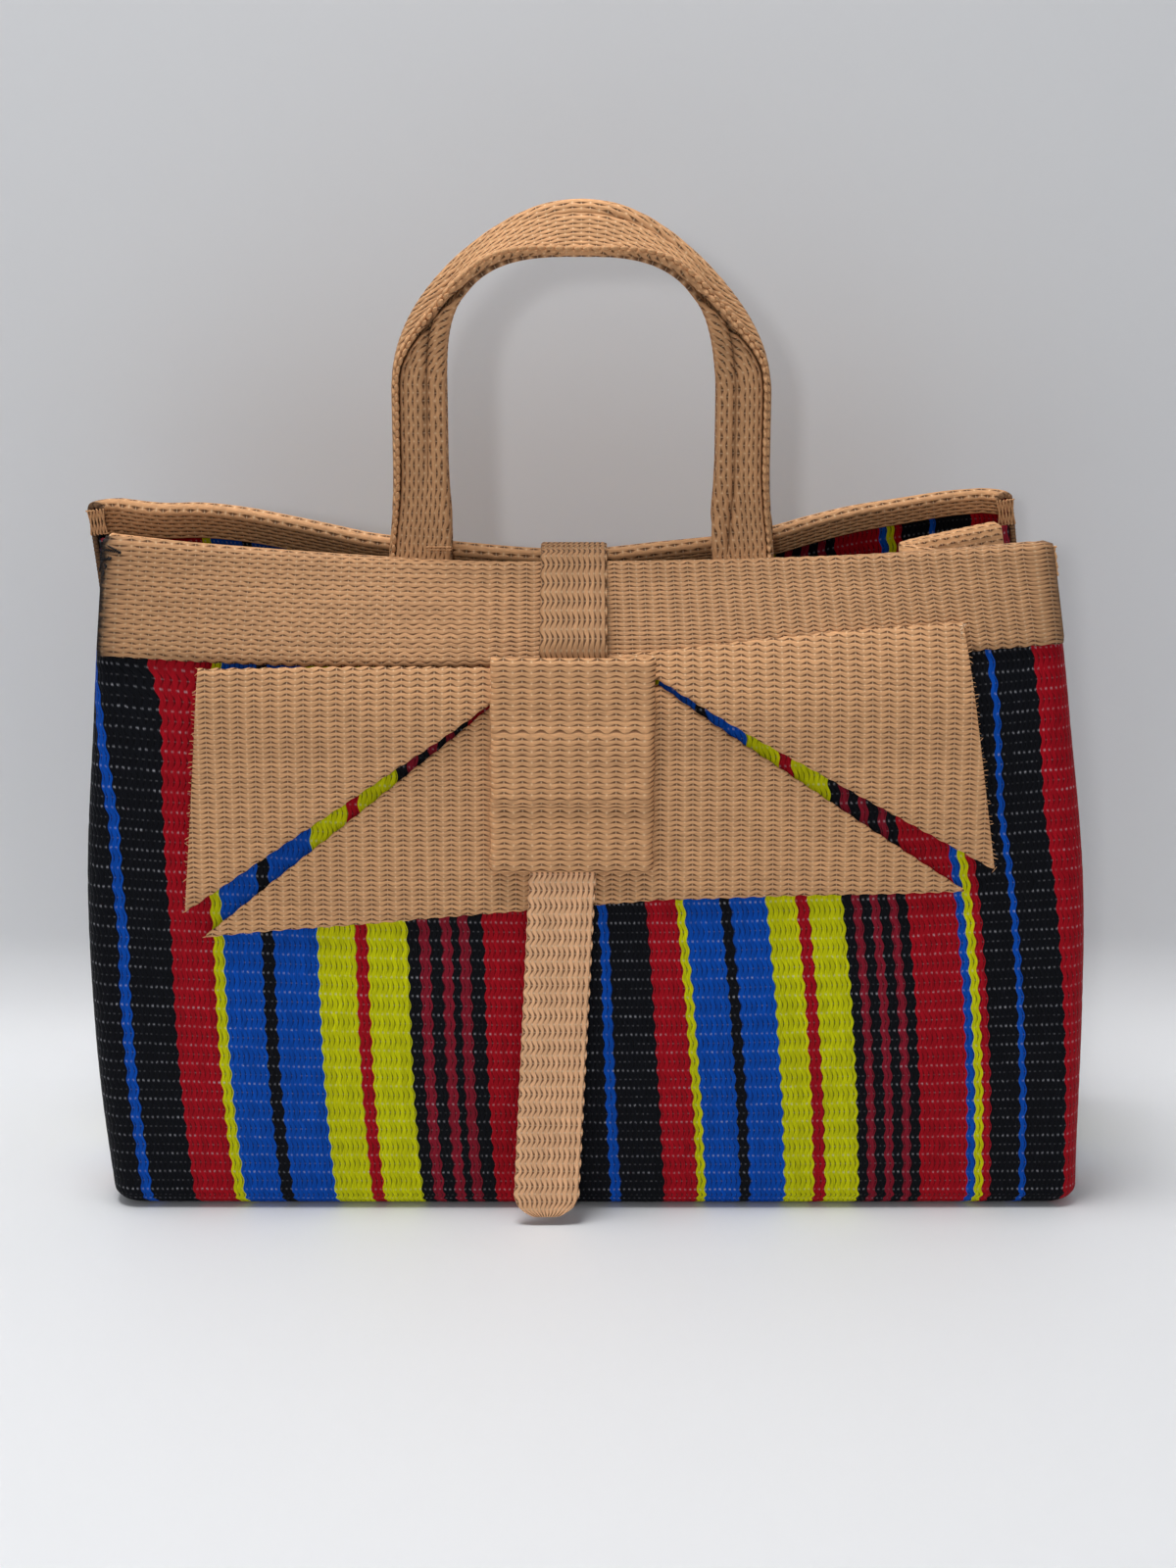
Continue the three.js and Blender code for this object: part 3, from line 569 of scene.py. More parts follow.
def build_striped_fabric():
    """Dyed yarns in the stripe plan, the white weft showing as dashes at the picks, with painted shade in
    the slits and a faint painted highlight along the streaks.
    """
    material, tree, shader = new_material("striped_fabric")
    lay = place_node(tree, "ShaderNodeAttribute", attribute_name="lay").outputs["Vector"]
    weave = place_node(tree, "ShaderNodeGroup", node_tree=weave_look, inputs={
        "Lay": lay, "Yarn Width": fabric_yarn_width * MM, "Pick Spacing": fabric_pick_spacing * MM,
        "Sway": fabric_sway * MM, "Slit": 0.3, "Dash": 0.5}).outputs
    streaks = place_node(tree, "ShaderNodeGroup", node_tree=fibre_streaks, inputs={
        "Lay": lay, "Fineness": 2100.0, "Stretch": 0.12}).outputs[0]
    scaled = maths(tree, "DIVIDE", weave["Across"], half_plan * MM)
    left = stripe_ramp(tree, maths(tree, "ADD", scaled, 1), left_plan)
    right = stripe_ramp(tree, scaled, right_plan)
    side = maths(tree, "GREATER_THAN", scaled, 0)
    warp = mix_colours(tree, "MIX", side, left, right)
    # Painted shade: the slits between the yarns are darkened towards grey.
    depth = maths(tree, "MULTIPLY", weave["Slits"], 0.75)
    slit_shaded = mix_colours(tree, "MULTIPLY", depth, warp, colour(120, 120, 130))
    tone = maths(tree, "MULTIPLY_ADD", streaks, 0.9, 0.42)
    yarn_tone = maths(tree, "MULTIPLY_ADD", weave["Yarn Shade"], 0.14, tone)
    toned = maths(tree, "MULTIPLY_ADD", weave["Float Shade"], 0.16, yarn_tone)
    # The warp with its painted slit shade, its tone varied at random by streaks, yarns and floats.
    toned_slit_shaded = place_node(tree, "ShaderNodeVectorMath", operation="SCALE",
                      inputs={0: slit_shaded, "Scale": toned}).outputs[0]
    # Painted highlight: the colour is lightened a little towards white along the streaks.
    sheen = maths(tree, "MULTIPLY", streaks, 0.006)
    shining = mix_colours(tree, "MIX", sheen, toned_slit_shaded, weft_white)
    breaks = place_node(tree, "ShaderNodeTexNoise", {"Vector": lay, "Scale": 260.0, "Detail": 1.0})
    patchy = maths(tree, "MULTIPLY_ADD", breaks.outputs["Fac"], 2.2, -0.55, clamp=True)
    uneven = maths(tree, "MULTIPLY", patchy, maths(tree, "MULTIPLY_ADD", weave["Float Shade"], 0.8, 0.15))
    strong = maths(tree, "MULTIPLY", weave["Picks"], maths(tree, "MULTIPLY", uneven, 0.62))
    weak = maths(tree, "MULTIPLY", weave["Half Picks"], maths(tree, "MULTIPLY", uneven, 0.22))
    dashes = maths(tree, "ADD", strong, weak, clamp=True)
    base = mix_colours(tree, "MIX", dashes, shining, weft_white)
    roughness = maths(tree, "MULTIPLY_ADD", streaks, 0.3, 0.42)
    height = maths(tree, "MULTIPLY_ADD", streaks, 0.5, weave["Height"])
    finish_shader(tree, shader, base, roughness, specular=0.06, height=height, strength=0.55, depth=0.4)
    return material


striped_fabric = build_striped_fabric()
fabric_weave = {"Yarn Width": fabric_yarn_width * MM, "Pick Spacing": fabric_pick_spacing * MM,
                "Sway": fabric_sway * MM, "Relief": fabric_relief * MM, "Finish": striped_fabric}


def make_panel(name, side):
    """Fine mesh of one side, its rows following the yarns upwards."""
    u = 2 * stations(2 * base_half_width, 1.3) - 1
    v = stations(rim_height, 1.75)
    across, up = np.meshgrid(u, v, indexing="ij")
    lay = np.stack([up * rim_height, warp_place(across, up)], axis=-1)
    piece = woven_sheet(name, panel_point(side, across, up), lay, fabric_thickness)
    return apply_tree(piece, weave_relief, fabric_weave)


for name, side, body in (("front_panel", FRONT, "front_side"), ("back_panel", BACK, "back_side")):
    panel = make_panel(f"{name}_cloth", side)
    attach(panel, body)
    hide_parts(name)


# Base: the same fabric laid flat, butted against the lower edges of the four walls
# and sewn to them.
seam_gap = 0.3
base_stripe_share = 0.98


def make_base():
    """Flat sheet with rounded corners. The bag stands on it, so its weave isn't raised."""
    edge = base_edge_radius + seam_gap
    half_x = base_half_width - edge
    half_y = profile_corner[0] - edge
    a = 2 * stations(2 * half_y, 2) - 1
    b = 2 * stations(2 * half_x, 3) - 1
    across, along = np.meshgrid(a, b, indexing="ij")
    rounding = corner_radius - seam_gap
    in_corner = part_way(np.abs(across) * half_y, half_y - rounding, half_y)
    reach = half_x - rounding * (1 - np.sqrt(1 - in_corner**2))
    middle = np.stack([along * reach, across * half_y, np.full(across.shape, fabric_thickness / 2)], axis=-1)
    lay = np.stack([across * half_y, along * half_x * base_stripe_share], axis=-1)
    return woven_sheet("base_cloth", middle, lay, fabric_thickness, shown=0.0)


base_cloth = apply_tree(make_base(), weave_relief, fabric_weave)
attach(base_cloth, "base")
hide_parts("base_panel")


# Gussets: the side walls, each folded inwards down its middle so that the bag closes
# flat. Each is one length, shown in two halves.
seam_pull = 0.65
gusset_fold = 50
gusset_drop = {-1: 12, 1: 10.5}
gusset_half_cut = 60
gusset_stripes_at = -110
fold_blunt = 0.08
fold_start = 0.1


def gusset_point(hand, u, v):
    """Point of a gusset: u from -1 at the front seam to 1 at the back seam, v up it."""
    u, v = np.broadcast_arrays(np.asarray(u, float), np.asarray(v, float))
    a = panel_point(FRONT, np.full(u.shape, float(hand)), v)
    b = panel_point(BACK, np.full(u.shape, float(hand)), v)
    a[..., 1] += seam_pull
    b[..., 1] -= seam_pull
    point = a + (b - a) * ((u + 1) / 2)[..., None]
    pleat = (1 - np.hypot(u, fold_blunt)) / (1 - fold_blunt)
    point[..., 0] -= hand * gusset_fold * part_way(v, fold_start, 1) * np.maximum(pleat, 0)
    return point


def gusset_top(hand):
    """Share of the rim's height that a gusset reaches."""
    return 1 - gusset_drop[hand] / rim_scale(FRONT, float(hand))


def make_gusset_half(name, hand, low, high):
    """Part of a gusset from low to high, where -1 is its front seam and 1 its back one."""
    u = low + (high - low) * stations(gusset_half_cut, 1.5)
    v = gusset_top(hand) * stations(rim_height, 2)
    across, up = np.meshgrid(u, v, indexing="ij")
    lay = np.stack([up * rim_height, gusset_stripes_at + across * gusset_half_cut], axis=-1)
    piece = woven_sheet(name, gusset_point(hand, across, up), lay, fabric_thickness)
    return apply_tree(piece, weave_relief, fabric_weave)


def split_between_sides(piece):
    """Half of a fold, its placement baked into its mesh."""
    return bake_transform(piece)


hands = {"left": -1, "right": 1}
gusset_halves = (("front", FRONT, -1, 0), ("back", BACK, 0, 1))
for word, hand in hands.items():
    for end, side, low, high in gusset_halves:
        half = make_gusset_half(f"{word}_gusset_{end}_half", hand, low, high)
        split_between_sides(half)
        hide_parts(f"{word}_gusset")


# Rim bands: wide tan webbing folded over each rim and sewn through. The front one is
# wider at the left than at the right. Narrow bands close the gussets' top edges.
webbing_thickness = 1.8
seat = 0.3
band_offset = fabric_thickness / 2 + seat + webbing_thickness / 2
inside_offset = band_offset + 1.5 * seat
band_outside = [51.5, 42.8, 44]
band_reach = {FRONT: (-0.97, 0.975), BACK: (-1, 1)}
band_inside = {FRONT: [14, 14], BACK: [14, 7.5]}
band_ripple = 0.3
in_step_from = (-75, -20)
# Even darkening over each rim band.
rim_band_darkening = {FRONT: 0.27, BACK: 0.135}
# Painted shade and dirt at each band's left end, where it turns round the corner, fading within a few mm.
left_end_shade_and_dirt = {FRONT: 1.1, BACK: 0.7}
left_end_shade_and_dirt_reach = 2.4
# Darkening at each band's right end, fading within a few mm.
right_end_darkening = 0.5
right_end_darkening_reach = 2
gusset_band_reach = 0.9
gusset_band_cut = 52
gusset_band_outside = 24
gusset_band_inside = 12
yarn_width = 2.03
pick_spacing = 7
webbing_sway = 0.42
webbing_relief = 0.34
# How many times closer than pick_spacing and yarn_width the bands' picks and yarns lie.
# Each piece of webbing below has its own closeness.
band_closeness = [1.17, 0.93]
# Brown that the webbing is darkened towards, for dirt and for painted shade.
dirt_and_shade_brown = colour(44, 34, 28)


def build_webbing(name, yarn, slit_shade_colour, pick_colour):
    """Spun tan yarns with painted shade in the slits between them and painted light on their crowns, pale
    where a pick binds, and darkened towards brown by each point's dirt and painted shade.
    """
    material, tree, shader = new_material(name)
    lay = place_node(tree, "ShaderNodeAttribute", attribute_name="lay").outputs["Vector"]
    dirt_and_shade = place_node(tree, "ShaderNodeAttribute", attribute_name="dirt_and_shade").outputs["Fac"]
    stagger = place_node(tree, "ShaderNodeAttribute", attribute_name="stagger").outputs["Fac"]
    weave = place_node(tree, "ShaderNodeGroup", node_tree=weave_look, inputs={
        "Lay": lay, "Yarn Width": yarn_width * MM, "Pick Spacing": pick_spacing * MM,
        "Sway": webbing_sway * MM, "Slit": 0.46, "Dash": 0.5, "Stagger": stagger}).outputs
    streaks = place_node(tree, "ShaderNodeGroup", node_tree=fibre_streaks, inputs={
        "Lay": lay, "Fineness": 1900.0, "Stretch": 0.16}).outputs[0]
    tone = maths(tree, "MULTIPLY_ADD", streaks, 0.62, 0.56)
    # Painted light and shade: higher parts of the weave, the yarn crowns, are lighter and lower parts
    # darker.
    raised = maths(tree, "MULTIPLY_ADD", weave["Height"], 0.12, tone)
    yarn_tone = maths(tree, "MULTIPLY_ADD", weave["Yarn Shade"], 0.1, raised)
    toned = maths(tree, "MULTIPLY_ADD", weave["Float Shade"], 0.14, yarn_tone)
    patches = place_node(tree, "ShaderNodeTexNoise", {"Vector": lay, "Scale": 30.0, "Detail": 2.0})
    aged = maths(tree, "MULTIPLY_ADD", patches.outputs["Fac"], 0.2, maths(tree, "SUBTRACT", toned, 0.1))
    body = place_node(tree, "ShaderNodeVectorMath", operation="SCALE",
                      inputs={0: yarn, "Scale": aged}).outputs[0]
    # Painted shade: the slits between the yarns take the dark slit colour.
    slits = maths(tree, "MULTIPLY", weave["Slits"], 0.88)
    slitted = mix_colours(tree, "MIX", slits, body, slit_shade_colour)
    picks = maths(tree, "MULTIPLY", weave["Picks"], 0.85)
    ticks = maths(tree, "MULTIPLY_ADD", weave["Half Picks"], 0.7, picks)
    bound = mix_colours(tree, "MIX", ticks, slitted, pick_colour)
    specks = place_node(tree, "ShaderNodeTexNoise", {"Vector": lay, "Scale": 420.0, "Detail": 2.0})
    speckled = maths(tree, "MULTIPLY_ADD", specks.outputs["Fac"], 0.8, 0.55)
    # Darkening towards brown by each point's dirt and painted shade, speckled.
    dirt_and_shade_mask = maths(tree, "MULTIPLY", dirt_and_shade, speckled, clamp=True)
    base = mix_colours(tree, "MIX", dirt_and_shade_mask, bound, dirt_and_shade_brown)
    roughness = maths(tree, "MULTIPLY_ADD", streaks, 0.25, 0.6)
    height = maths(tree, "MULTIPLY_ADD", streaks, 0.35, weave["Height"])
    finish_shader(tree, shader, base, roughness, specular=0.2, height=height, strength=0.85, depth=0.5)
    return material


tan_webbing = build_webbing("tan_webbing", yarn=colour(208, 156, 110)[:3],
                            slit_shade_colour=colour(92, 54, 31), pick_colour=colour(240, 202, 158))
webbing_weave = {"Yarn Width": yarn_width * MM, "Pick Spacing": pick_spacing * MM,
                 "Sway": webbing_sway * MM, "Relief": webbing_relief * MM, "Finish": tan_webbing}


def pick_phase(along, closeness):
    """Angle that goes once round from each pick of the webbing to the next."""
    return along * closeness / pick_spacing * math.tau


def folded_band(name, frame_at, outside_mm, inside_mm, scale, along_mm, dirt_and_shade=0.0, stagger=0.0):
    """Webbing folded over an edge: up the outside, over it and down the inside.

    frame_at gives the point, normal and upward tangent of the cloth at a station along
    the band and at distances below its edge, outside_mm and inside_mm the depths at
    each station, and scale the length of a unit of v there."""
    over = np.pi * band_offset
    total = outside_mm.max() + over + inside_mm.max()
    rows = stations(total, 0.45) * total
    middle = np.empty((len(rows), len(along_mm), 3))
    for j, (width, inner_width) in enumerate(zip(outside_mm, inside_mm)):
        run = rows / total * (width + over + inner_width)
        below = np.where(run < width, width - run, np.maximum(run - width - over, 0)) / scale
        turn = part_way(run, width, width + over) * np.pi
        point, normal, up = frame_at(j, below)
        reach = np.where(turn < np.pi / 2, band_offset, inside_offset)[:, None]
        middle[:, j] = (point + normal * reach * np.cos(turn)[:, None]
                        + up * band_offset * np.sin(turn)[:, None])
    lay = np.empty(middle.shape[:2] + (2,))
    lay[..., 0] = along_mm * band_closeness[0]
    lay[..., 1] = rows[:, None] * band_closeness[1]
    piece = woven_sheet(name, middle, lay, webbing_thickness, back_step=8, dirt_and_shade=dirt_and_shade, stagger=stagger)
    return apply_tree(piece, weave_relief, webbing_weave)


def ease(value, low, high):
    """Smooth step from 0 at low to 1 at high."""
    t = part_way(value, low, high)
    return t * t * (3 - 2 * t)


def make_rim_band(name, side):
    """Band of one side. The front one's yarns bind in turn at the left, then in step."""
    length = 2 * base_half_width
    from_left = stations(length, 1.2) * length
    u = np.interp(from_left, [0, length], band_reach[side])
    ripple = band_ripple * np.sin(pick_phase(from_left, band_closeness[0]))
    outside_mm = np.interp(from_left, [0, length / 2, length], band_outside) + ripple
    inside_mm = np.interp(from_left, [0, length], band_inside[side])
    # Darkening: even over the band, painted shade and dirt at its left end, plain darkening at its right
    # end.
    dirt_and_shade = (rim_band_darkening[side] + left_end_shade_and_dirt[side] * np.exp(-from_left / left_end_shade_and_dirt_reach)
            + right_end_darkening * np.exp(-(length - from_left) / right_end_darkening_reach))
    along_mm = u * base_half_width
    stagger = 1 - ease(along_mm, *in_step_from) if side == FRONT else 1.0

    def frame_at(j, below):
        return panel_frame(side, np.full(below.shape, u[j]), 1 - below)
    return folded_band(name, frame_at, outside_mm, inside_mm, rim_scale(side, 0.0), along_mm,
                       dirt_and_shade, stagger)


for name, side, body in (("front_band", FRONT, "front_side"), ("back_band", BACK, "back_side")):
    band = make_rim_band(f"{name}_webbing", side)
    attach(band, body)
    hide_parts(name)


def gusset_frame(hand, u, v):
    """Point, outward normal and upward tangent of a gusset."""
    step = 1e-3
    point = gusset_point(hand, u, v)
    back, front = np.minimum(u + step, 1), np.maximum(u - step, -1)
    across = gusset_point(hand, back, v) - gusset_point(hand, front, v)
    up = unit(point - gusset_point(hand, u, v - step))
    normal = unit(np.cross(across, up))
    return point, normal * np.sign(normal[..., 0:1] * hand), up


def make_gusset_band(name, hand, low, high):
    """Half of the narrow band over a gusset's top edge."""
    top = gusset_top(hand)
    u = gusset_band_reach * (low + (high - low) * stations(gusset_band_cut, 1.2))
    outside_mm = np.full(len(u), float(gusset_band_outside))
    inside_mm = np.full(len(u), float(gusset_band_inside))

    def frame_at(j, below):
        return gusset_frame(hand, np.full(below.shape, u[j]), top - below)
    return folded_band(name, frame_at, outside_mm, inside_mm, rim_scale(FRONT, float(hand)),
                       u * gusset_half_cut, stagger=1.0)


for word, hand in hands.items():
    for end, side, low, high in gusset_halves:
        half = make_gusset_band(f"{word}_gusset_band_{end}_half", hand, low, high)
        split_between_sides(half)
        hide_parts(f"{word}_gusset_band")


# Handles: wide webbing folded round on itself. Both ends are sewn inside the rim, and
# the open edge winds from the outside of the legs to the inside of the arch.
handle_width = 22.6
waist = 2.4
handle_spacing = 123
handle_top = 373.5
arch_squareness = [2.3, 2.15, 1.95]
shoulder_pinch = 5.3
sewn_flare = 0.8
handle_tilt = 30
shoulder_twist = 40
handle_end_length = 32
handle_at = -2.5
handle_lean = 6
handle_pivot_rise = 5
handle_foot_rise = 2
sag_at_leg = 0.85
path_step = 1.2
handle_stack = 2 * webbing_thickness + seat
inner_offset = inside_offset + webbing_thickness / 2 + seat + handle_stack / 2
band_top = band_offset + webbing_thickness / 2
roll_radius = 1.7
puffed_above_bend = (4, 40)
edge_winds_at = (math.radians(5), math.radians(48))
open_edge_gap = 0.5
lap_rise = 1.2
lap_rise_reach = 3.2
lap_sink = 0.6
lap_sink_reach = 2.2
trough_in = 4.4
trough_reach = 1.5
trough_depth = 2.2
trough_above_bend = {"left": (25, 60), "right": (2, 14)}
trough_ends_at = (0.3, 1.0)
crease_in = 3.4
crease_reach = 1.1
crease_depth = 1.3
crease_at = math.radians(108)
crease_runs_for = math.radians(24)
# Painted shade down the legs, fading to none at the top of the arch, which the light falls on.
leg_shade = 0.21
handle_closeness = [1.15, 1.18]
# Two rows of thick yarns show beside the open edge: how far back from it, and their slant.
selvedge_rows = ((0.7, 0.55), (2.3, -0.55))
selvedge_proud = 1.3
selvedge_yarn = {"spacing": 3.4, "length": 4.2, "thickness": 1.75}


def across_at(side, x):
    """Where u lies at the rim of a side for a place in x."""
    return (x - middle_line(side, 1)) / (half_width(side, 1) - corner_radius) * (1 - corner_share)


def handle_pivot(side):
    """Bend line of a handle, above the band's fold and inside the rim.

    Its height is that of the rim without the sag and lift there, as in the joint."""
    leg_u = across_at(side, handle_at + handle_spacing / 2)
    edge_u = across_at(side, handle_at + (handle_spacing + handle_width) / 2)
    leg, normal, up = panel_frame(side, leg_u, 1.0)
    pivot = leg - normal * inner_offset + up * handle_lean
    lift = float(through(lift_places, rim_lift[side], edge_u / (1 - corner_share)))
    straight_rim = panel_point(side, edge_u, 1.0)[2] + rim_sag * sag_at_leg - lift
    pivot[2] = straight_rim + band_top + handle_stack / 2 + handle_pivot_rise
    return pivot


def handle_path(side):
    """Centres, width directions and arch angles along one handle, left end first.

    Each leg runs up inside the rim, bends over to the upright and meets the arch."""
    pivot = handle_pivot(side)
    radius = handle_spacing / 2
    spring = handle_top - radius
    legs = []
    for hand in (-1, 1):
        leg = []
        middle = handle_at + hand * radius
        u = across_at(side, middle)
        edge = across_at(side, middle + hand * handle_width / 2)
        for below in np.arange(handle_end_length, 0, -path_step):
            v = 1 - below / rim_scale(side, u)
            point, normal, up = panel_frame(side, u, v)
            side_point, side_normal, _ = panel_frame(side, edge, v)
            centre = point - normal * inner_offset
            outward = unit(side_point - side_normal * inner_offset - centre)
            leg.append((centre, outward, 0.0))
        bend = centre + up * (pivot[1] - centre[1]) / up[1]
        foot = np.array([middle, pivot[1], pivot[2] + handle_foot_rise])
        sideways = np.array([hand, 0, 0])
        for t in np.linspace(0, 1, 16)[1:]:
            point = (1 - t) ** 2 * centre + 2 * t * (1 - t) * bend + t * t * foot
            leg.append((point, unit(outward * (1 - t) + sideways * t), 0.0))
        for z in np.arange(foot[2] + path_step, spring, path_step):
            leg.append((np.array([middle, pivot[1], z]), sideways, 0.0))
        legs.append(leg)
    arch = []
    for angle in np.linspace(0, np.pi, int(np.pi * radius / path_step)):
        forward = np.array([math.sin(angle), 0, math.cos(angle)])
        level = np.array([-math.cos(angle), 0, math.sin(angle)])
        tilt = math.radians(handle_tilt * math.sin(angle) ** 2 + shoulder_twist * math.sin(2 * angle) ** 2)
        outward = level * math.cos(tilt) - np.cross(forward, level) * math.sin(tilt)
        square = float(np.interp(angle, [0, math.pi / 2, math.pi], arch_squareness))
        power = abs(math.cos(angle)) ** square + abs(math.sin(angle)) ** square
        reach = radius * power ** (-1 / square)
        centre = np.array([handle_at - reach * math.cos(angle), pivot[1], spring + reach * math.sin(angle)])
        arch.append((centre, outward, angle))
    return legs[0] + arch + [(centre, outward, math.pi) for centre, outward, _ in legs[1][::-1]]


def rolled_section(run, half_flat, radius):
    """Place across and towards the back on a flattened tube, by distance round it.

    The distance starts at the outer edge and goes over the front face first."""
    quarter = np.pi / 2 * radius
    flat = 2 * half_flat
    girth = 4 * quarter + 2 * flat
    run = np.mod(run, girth)
    bounds = np.cumsum([0, quarter, flat, 2 * quarter, flat, quarter])
    part = np.clip(np.searchsorted(bounds, run, side="right") - 1, 0, 4)
    t = run - bounds[part]
    turn = t / radius
    in_part = [part == k for k in range(5)]
    width = np.select(in_part, [
        half_flat + radius * np.cos(turn), half_flat - t, -half_flat - radius * np.sin(turn),
        -half_flat + t, half_flat + radius * np.sin(turn)])
    depth = np.select(in_part, [
        -radius * np.sin(turn), -radius, -radius * np.cos(turn), radius, radius * np.cos(turn)])
    return width, depth, girth


def make_handle(name, side):
    """One handle with its sewn ends, and the lines that its selvedge yarns lie on.

    It is flat where it is sewn in and puffs up above. A trough runs up each leg near
    its inner edge, and a crease lies near the outer edge past the top of the arch."""
    path = handle_path(side)
    centres = np.array([row[0] for row in path])
    angles = np.array([row[2] for row in path])
    forward = unit(np.gradient(centres, axis=0))
    outward = np.array([row[1] for row in path])
    outward = unit(outward - forward * np.sum(outward * forward, axis=-1, keepdims=True))
    face = unit(np.cross(outward, forward))
    run = np.concatenate([[0], np.cumsum(np.linalg.norm(np.diff(centres, axis=0), axis=1))])
    above_leg = np.minimum(angles, math.pi - angles)
    above_bend = np.minimum(run, run[-1] - run) - handle_end_length
    wound = ease(above_leg, *edge_winds_at)
    puffed = ease(above_bend, *puffed_above_bend)
    widths = handle_width + sewn_flare * (1 - puffed) - waist * puffed * (1 - np.sin(angles) ** 4)
    widths = widths - shoulder_pinch * np.sin(2 * angles) ** 2
    flat_radius = (webbing_thickness + seat) / 2
    trough_foot = np.where(angles > math.pi / 2, ease(above_bend, *trough_above_bend["right"]),
                           ease(above_bend, *trough_above_bend["left"]))
    trough = trough_foot * (1 - ease(above_leg, *trough_ends_at))
    crest = bell(angles - crease_at, crease_runs_for)
    middle, lays, handle_shades = [], [], []
    edge_lines = [[] for _ in selvedge_rows]
    shares = stations(2 * handle_width - open_edge_gap, 0.45)
    for j in range(len(path)):
        radius = flat_radius + (roll_radius - flat_radius) * puffed[j]
        half_flat = (widths[j] - webbing_thickness) / 2 - radius
        girth = rolled_section(np.zeros(1), half_flat, radius)[2]
        quarter = np.pi / 2 * radius
        slit = quarter + wound[j] * (2 * half_flat + 1.4 * quarter)
        beyond = shares * (girth - open_edge_gap)
        before = girth - open_edge_gap - beyond
        width, depth, _ = rolled_section(slit + open_edge_gap / 2 + beyond, half_flat, radius)
        groove = bell(width + half_flat - trough_in, trough_reach) * trough[j] * (depth < 0)
        crease = bell(width - half_flat + crease_in, crease_reach) * crest[j] * (depth < 0)
        lap = lap_rise * bell(before, lap_rise_reach) - lap_sink * bell(beyond, lap_sink_reach)
        depth = depth + groove * trough_depth + crease * crease_depth - lap * puffed[j]
        middle.append(centres[j] + outward[j] * width[:, None] + face[j] * depth[:, None])
        lays.append(np.stack([np.full(len(shares), run[j]), shares * girth], axis=-1))
        # Painted shade in the trough, in the crease, beside the lapped open edge and down the legs.
        shade_under_lap = 0.25 * bell(beyond, 1) + 0.15 * bell(before - 1.6, 1.9)
        leg_shade_share = leg_shade * abs(math.cos(angles[j]))
        handle_shades.append(0.75 * groove**2 + 0.6 * crease**2 + shade_under_lap * puffed[j] + leg_shade_share)
        for line, (back, _) in zip(edge_lines, selvedge_rows):
            place, rise, _ = rolled_section(np.array([slit - back]), half_flat, radius)
            rise = rise - selvedge_proud - lap_rise * puffed[j]
            line.append(centres[j] + outward[j] * place + face[j] * rise)
    lay = np.stack(lays, axis=1) * handle_closeness
    piece = woven_sheet(name, np.stack(middle, axis=1), lay, webbing_thickness, back_step=8,
                        dirt_and_shade=np.stack(handle_shades, axis=1), stagger=1.0)
    shown = above_bend > 0
    return apply_tree(piece, weave_relief, webbing_weave), [np.array(line)[shown] for line in edge_lines]


def build_yarn_row():
    """Node tree that lays short thick yarns one after another along lines.

    Slant turns each away from its line, Scatter turns it at random, and Unevenness
    varies its size."""
    tree = bpy.data.node_groups.new("yarn row", "GeometryNodeTree")
    ins, outs = sockets(tree, {
        "Line": ("NodeSocketGeometry", None),
        "Spacing": ("NodeSocketFloat", 0.0035),
        "Length": ("NodeSocketFloat", 0.004),
        "Thickness": ("NodeSocketFloat", 0.0012),
        "Slant": ("NodeSocketFloat", 0.4),
        "Scatter": ("NodeSocketFloat", 0.0),
        "Unevenness": ("NodeSocketFloat", 0.13),
        "Finish": ("NodeSocketMaterial", None),
    }, {"Yarns": "NodeSocketGeometry"})
    curve = place_node(tree, "GeometryNodeMeshToCurve", inputs={0: ins["Line"]})
    points = place_node(tree, "GeometryNodeCurveToPoints", mode="LENGTH",
                        inputs={"Curve": curve.outputs[0], "Length": ins["Spacing"]})
    number = place_node(tree, "GeometryNodeInputIndex").outputs[0]
    chances = [place_node(tree, "FunctionNodeRandomValue", data_type="FLOAT", inputs={
        2: -1.0, 3: 1.0, "ID": number, "Seed": seed}).outputs[1] for seed in (4, 5, 6)]
    turn = place_node(tree, "ShaderNodeCombineXYZ", inputs={
        0: maths(tree, "MULTIPLY_ADD", chances[0], ins["Scatter"], ins["Slant"]),
        1: maths(tree, "MULTIPLY", chances[1], ins["Scatter"])})
    slanted = place_node(tree, "FunctionNodeRotateRotation", rotation_space="LOCAL", inputs={
        0: points.outputs["Rotation"],
        1: place_node(tree, "FunctionNodeEulerToRotation", inputs={0: turn.outputs[0]}).outputs[0]})
    yarn = place_node(tree, "GeometryNodeMeshUVSphere", inputs={"Segments": 8, "Rings": 6, "Radius": 0.5})
    size = place_node(tree, "ShaderNodeCombineXYZ", inputs={
        0: ins["Thickness"], 1: ins["Thickness"], 2: ins["Length"]})
    uneven = maths(tree, "MULTIPLY_ADD", chances[2], ins["Unevenness"], 1)
    scaled = place_node(tree, "ShaderNodeVectorMath", operation="SCALE",
                        inputs={0: size.outputs[0], "Scale": uneven})
    laid = place_node(tree, "GeometryNodeInstanceOnPoints", inputs={
        "Points": points.outputs["Points"], "Instance": yarn.outputs["Mesh"],
        "Rotation": slanted.outputs[0], "Scale": scaled.outputs[0]})
    whole = place_node(tree, "GeometryNodeRealizeInstances", inputs={0: laid.outputs[0]})
    smooth = place_node(tree, "GeometryNodeSetShadeSmooth", inputs={0: whole.outputs[0]})
    finished = place_node(tree, "GeometryNodeSetMaterial",
                          inputs={"Geometry": smooth.outputs[0], "Material": ins["Finish"]})
    tree.links.new(finished.outputs[0], outs["Yarns"])
    return tree


yarn_row = build_yarn_row()


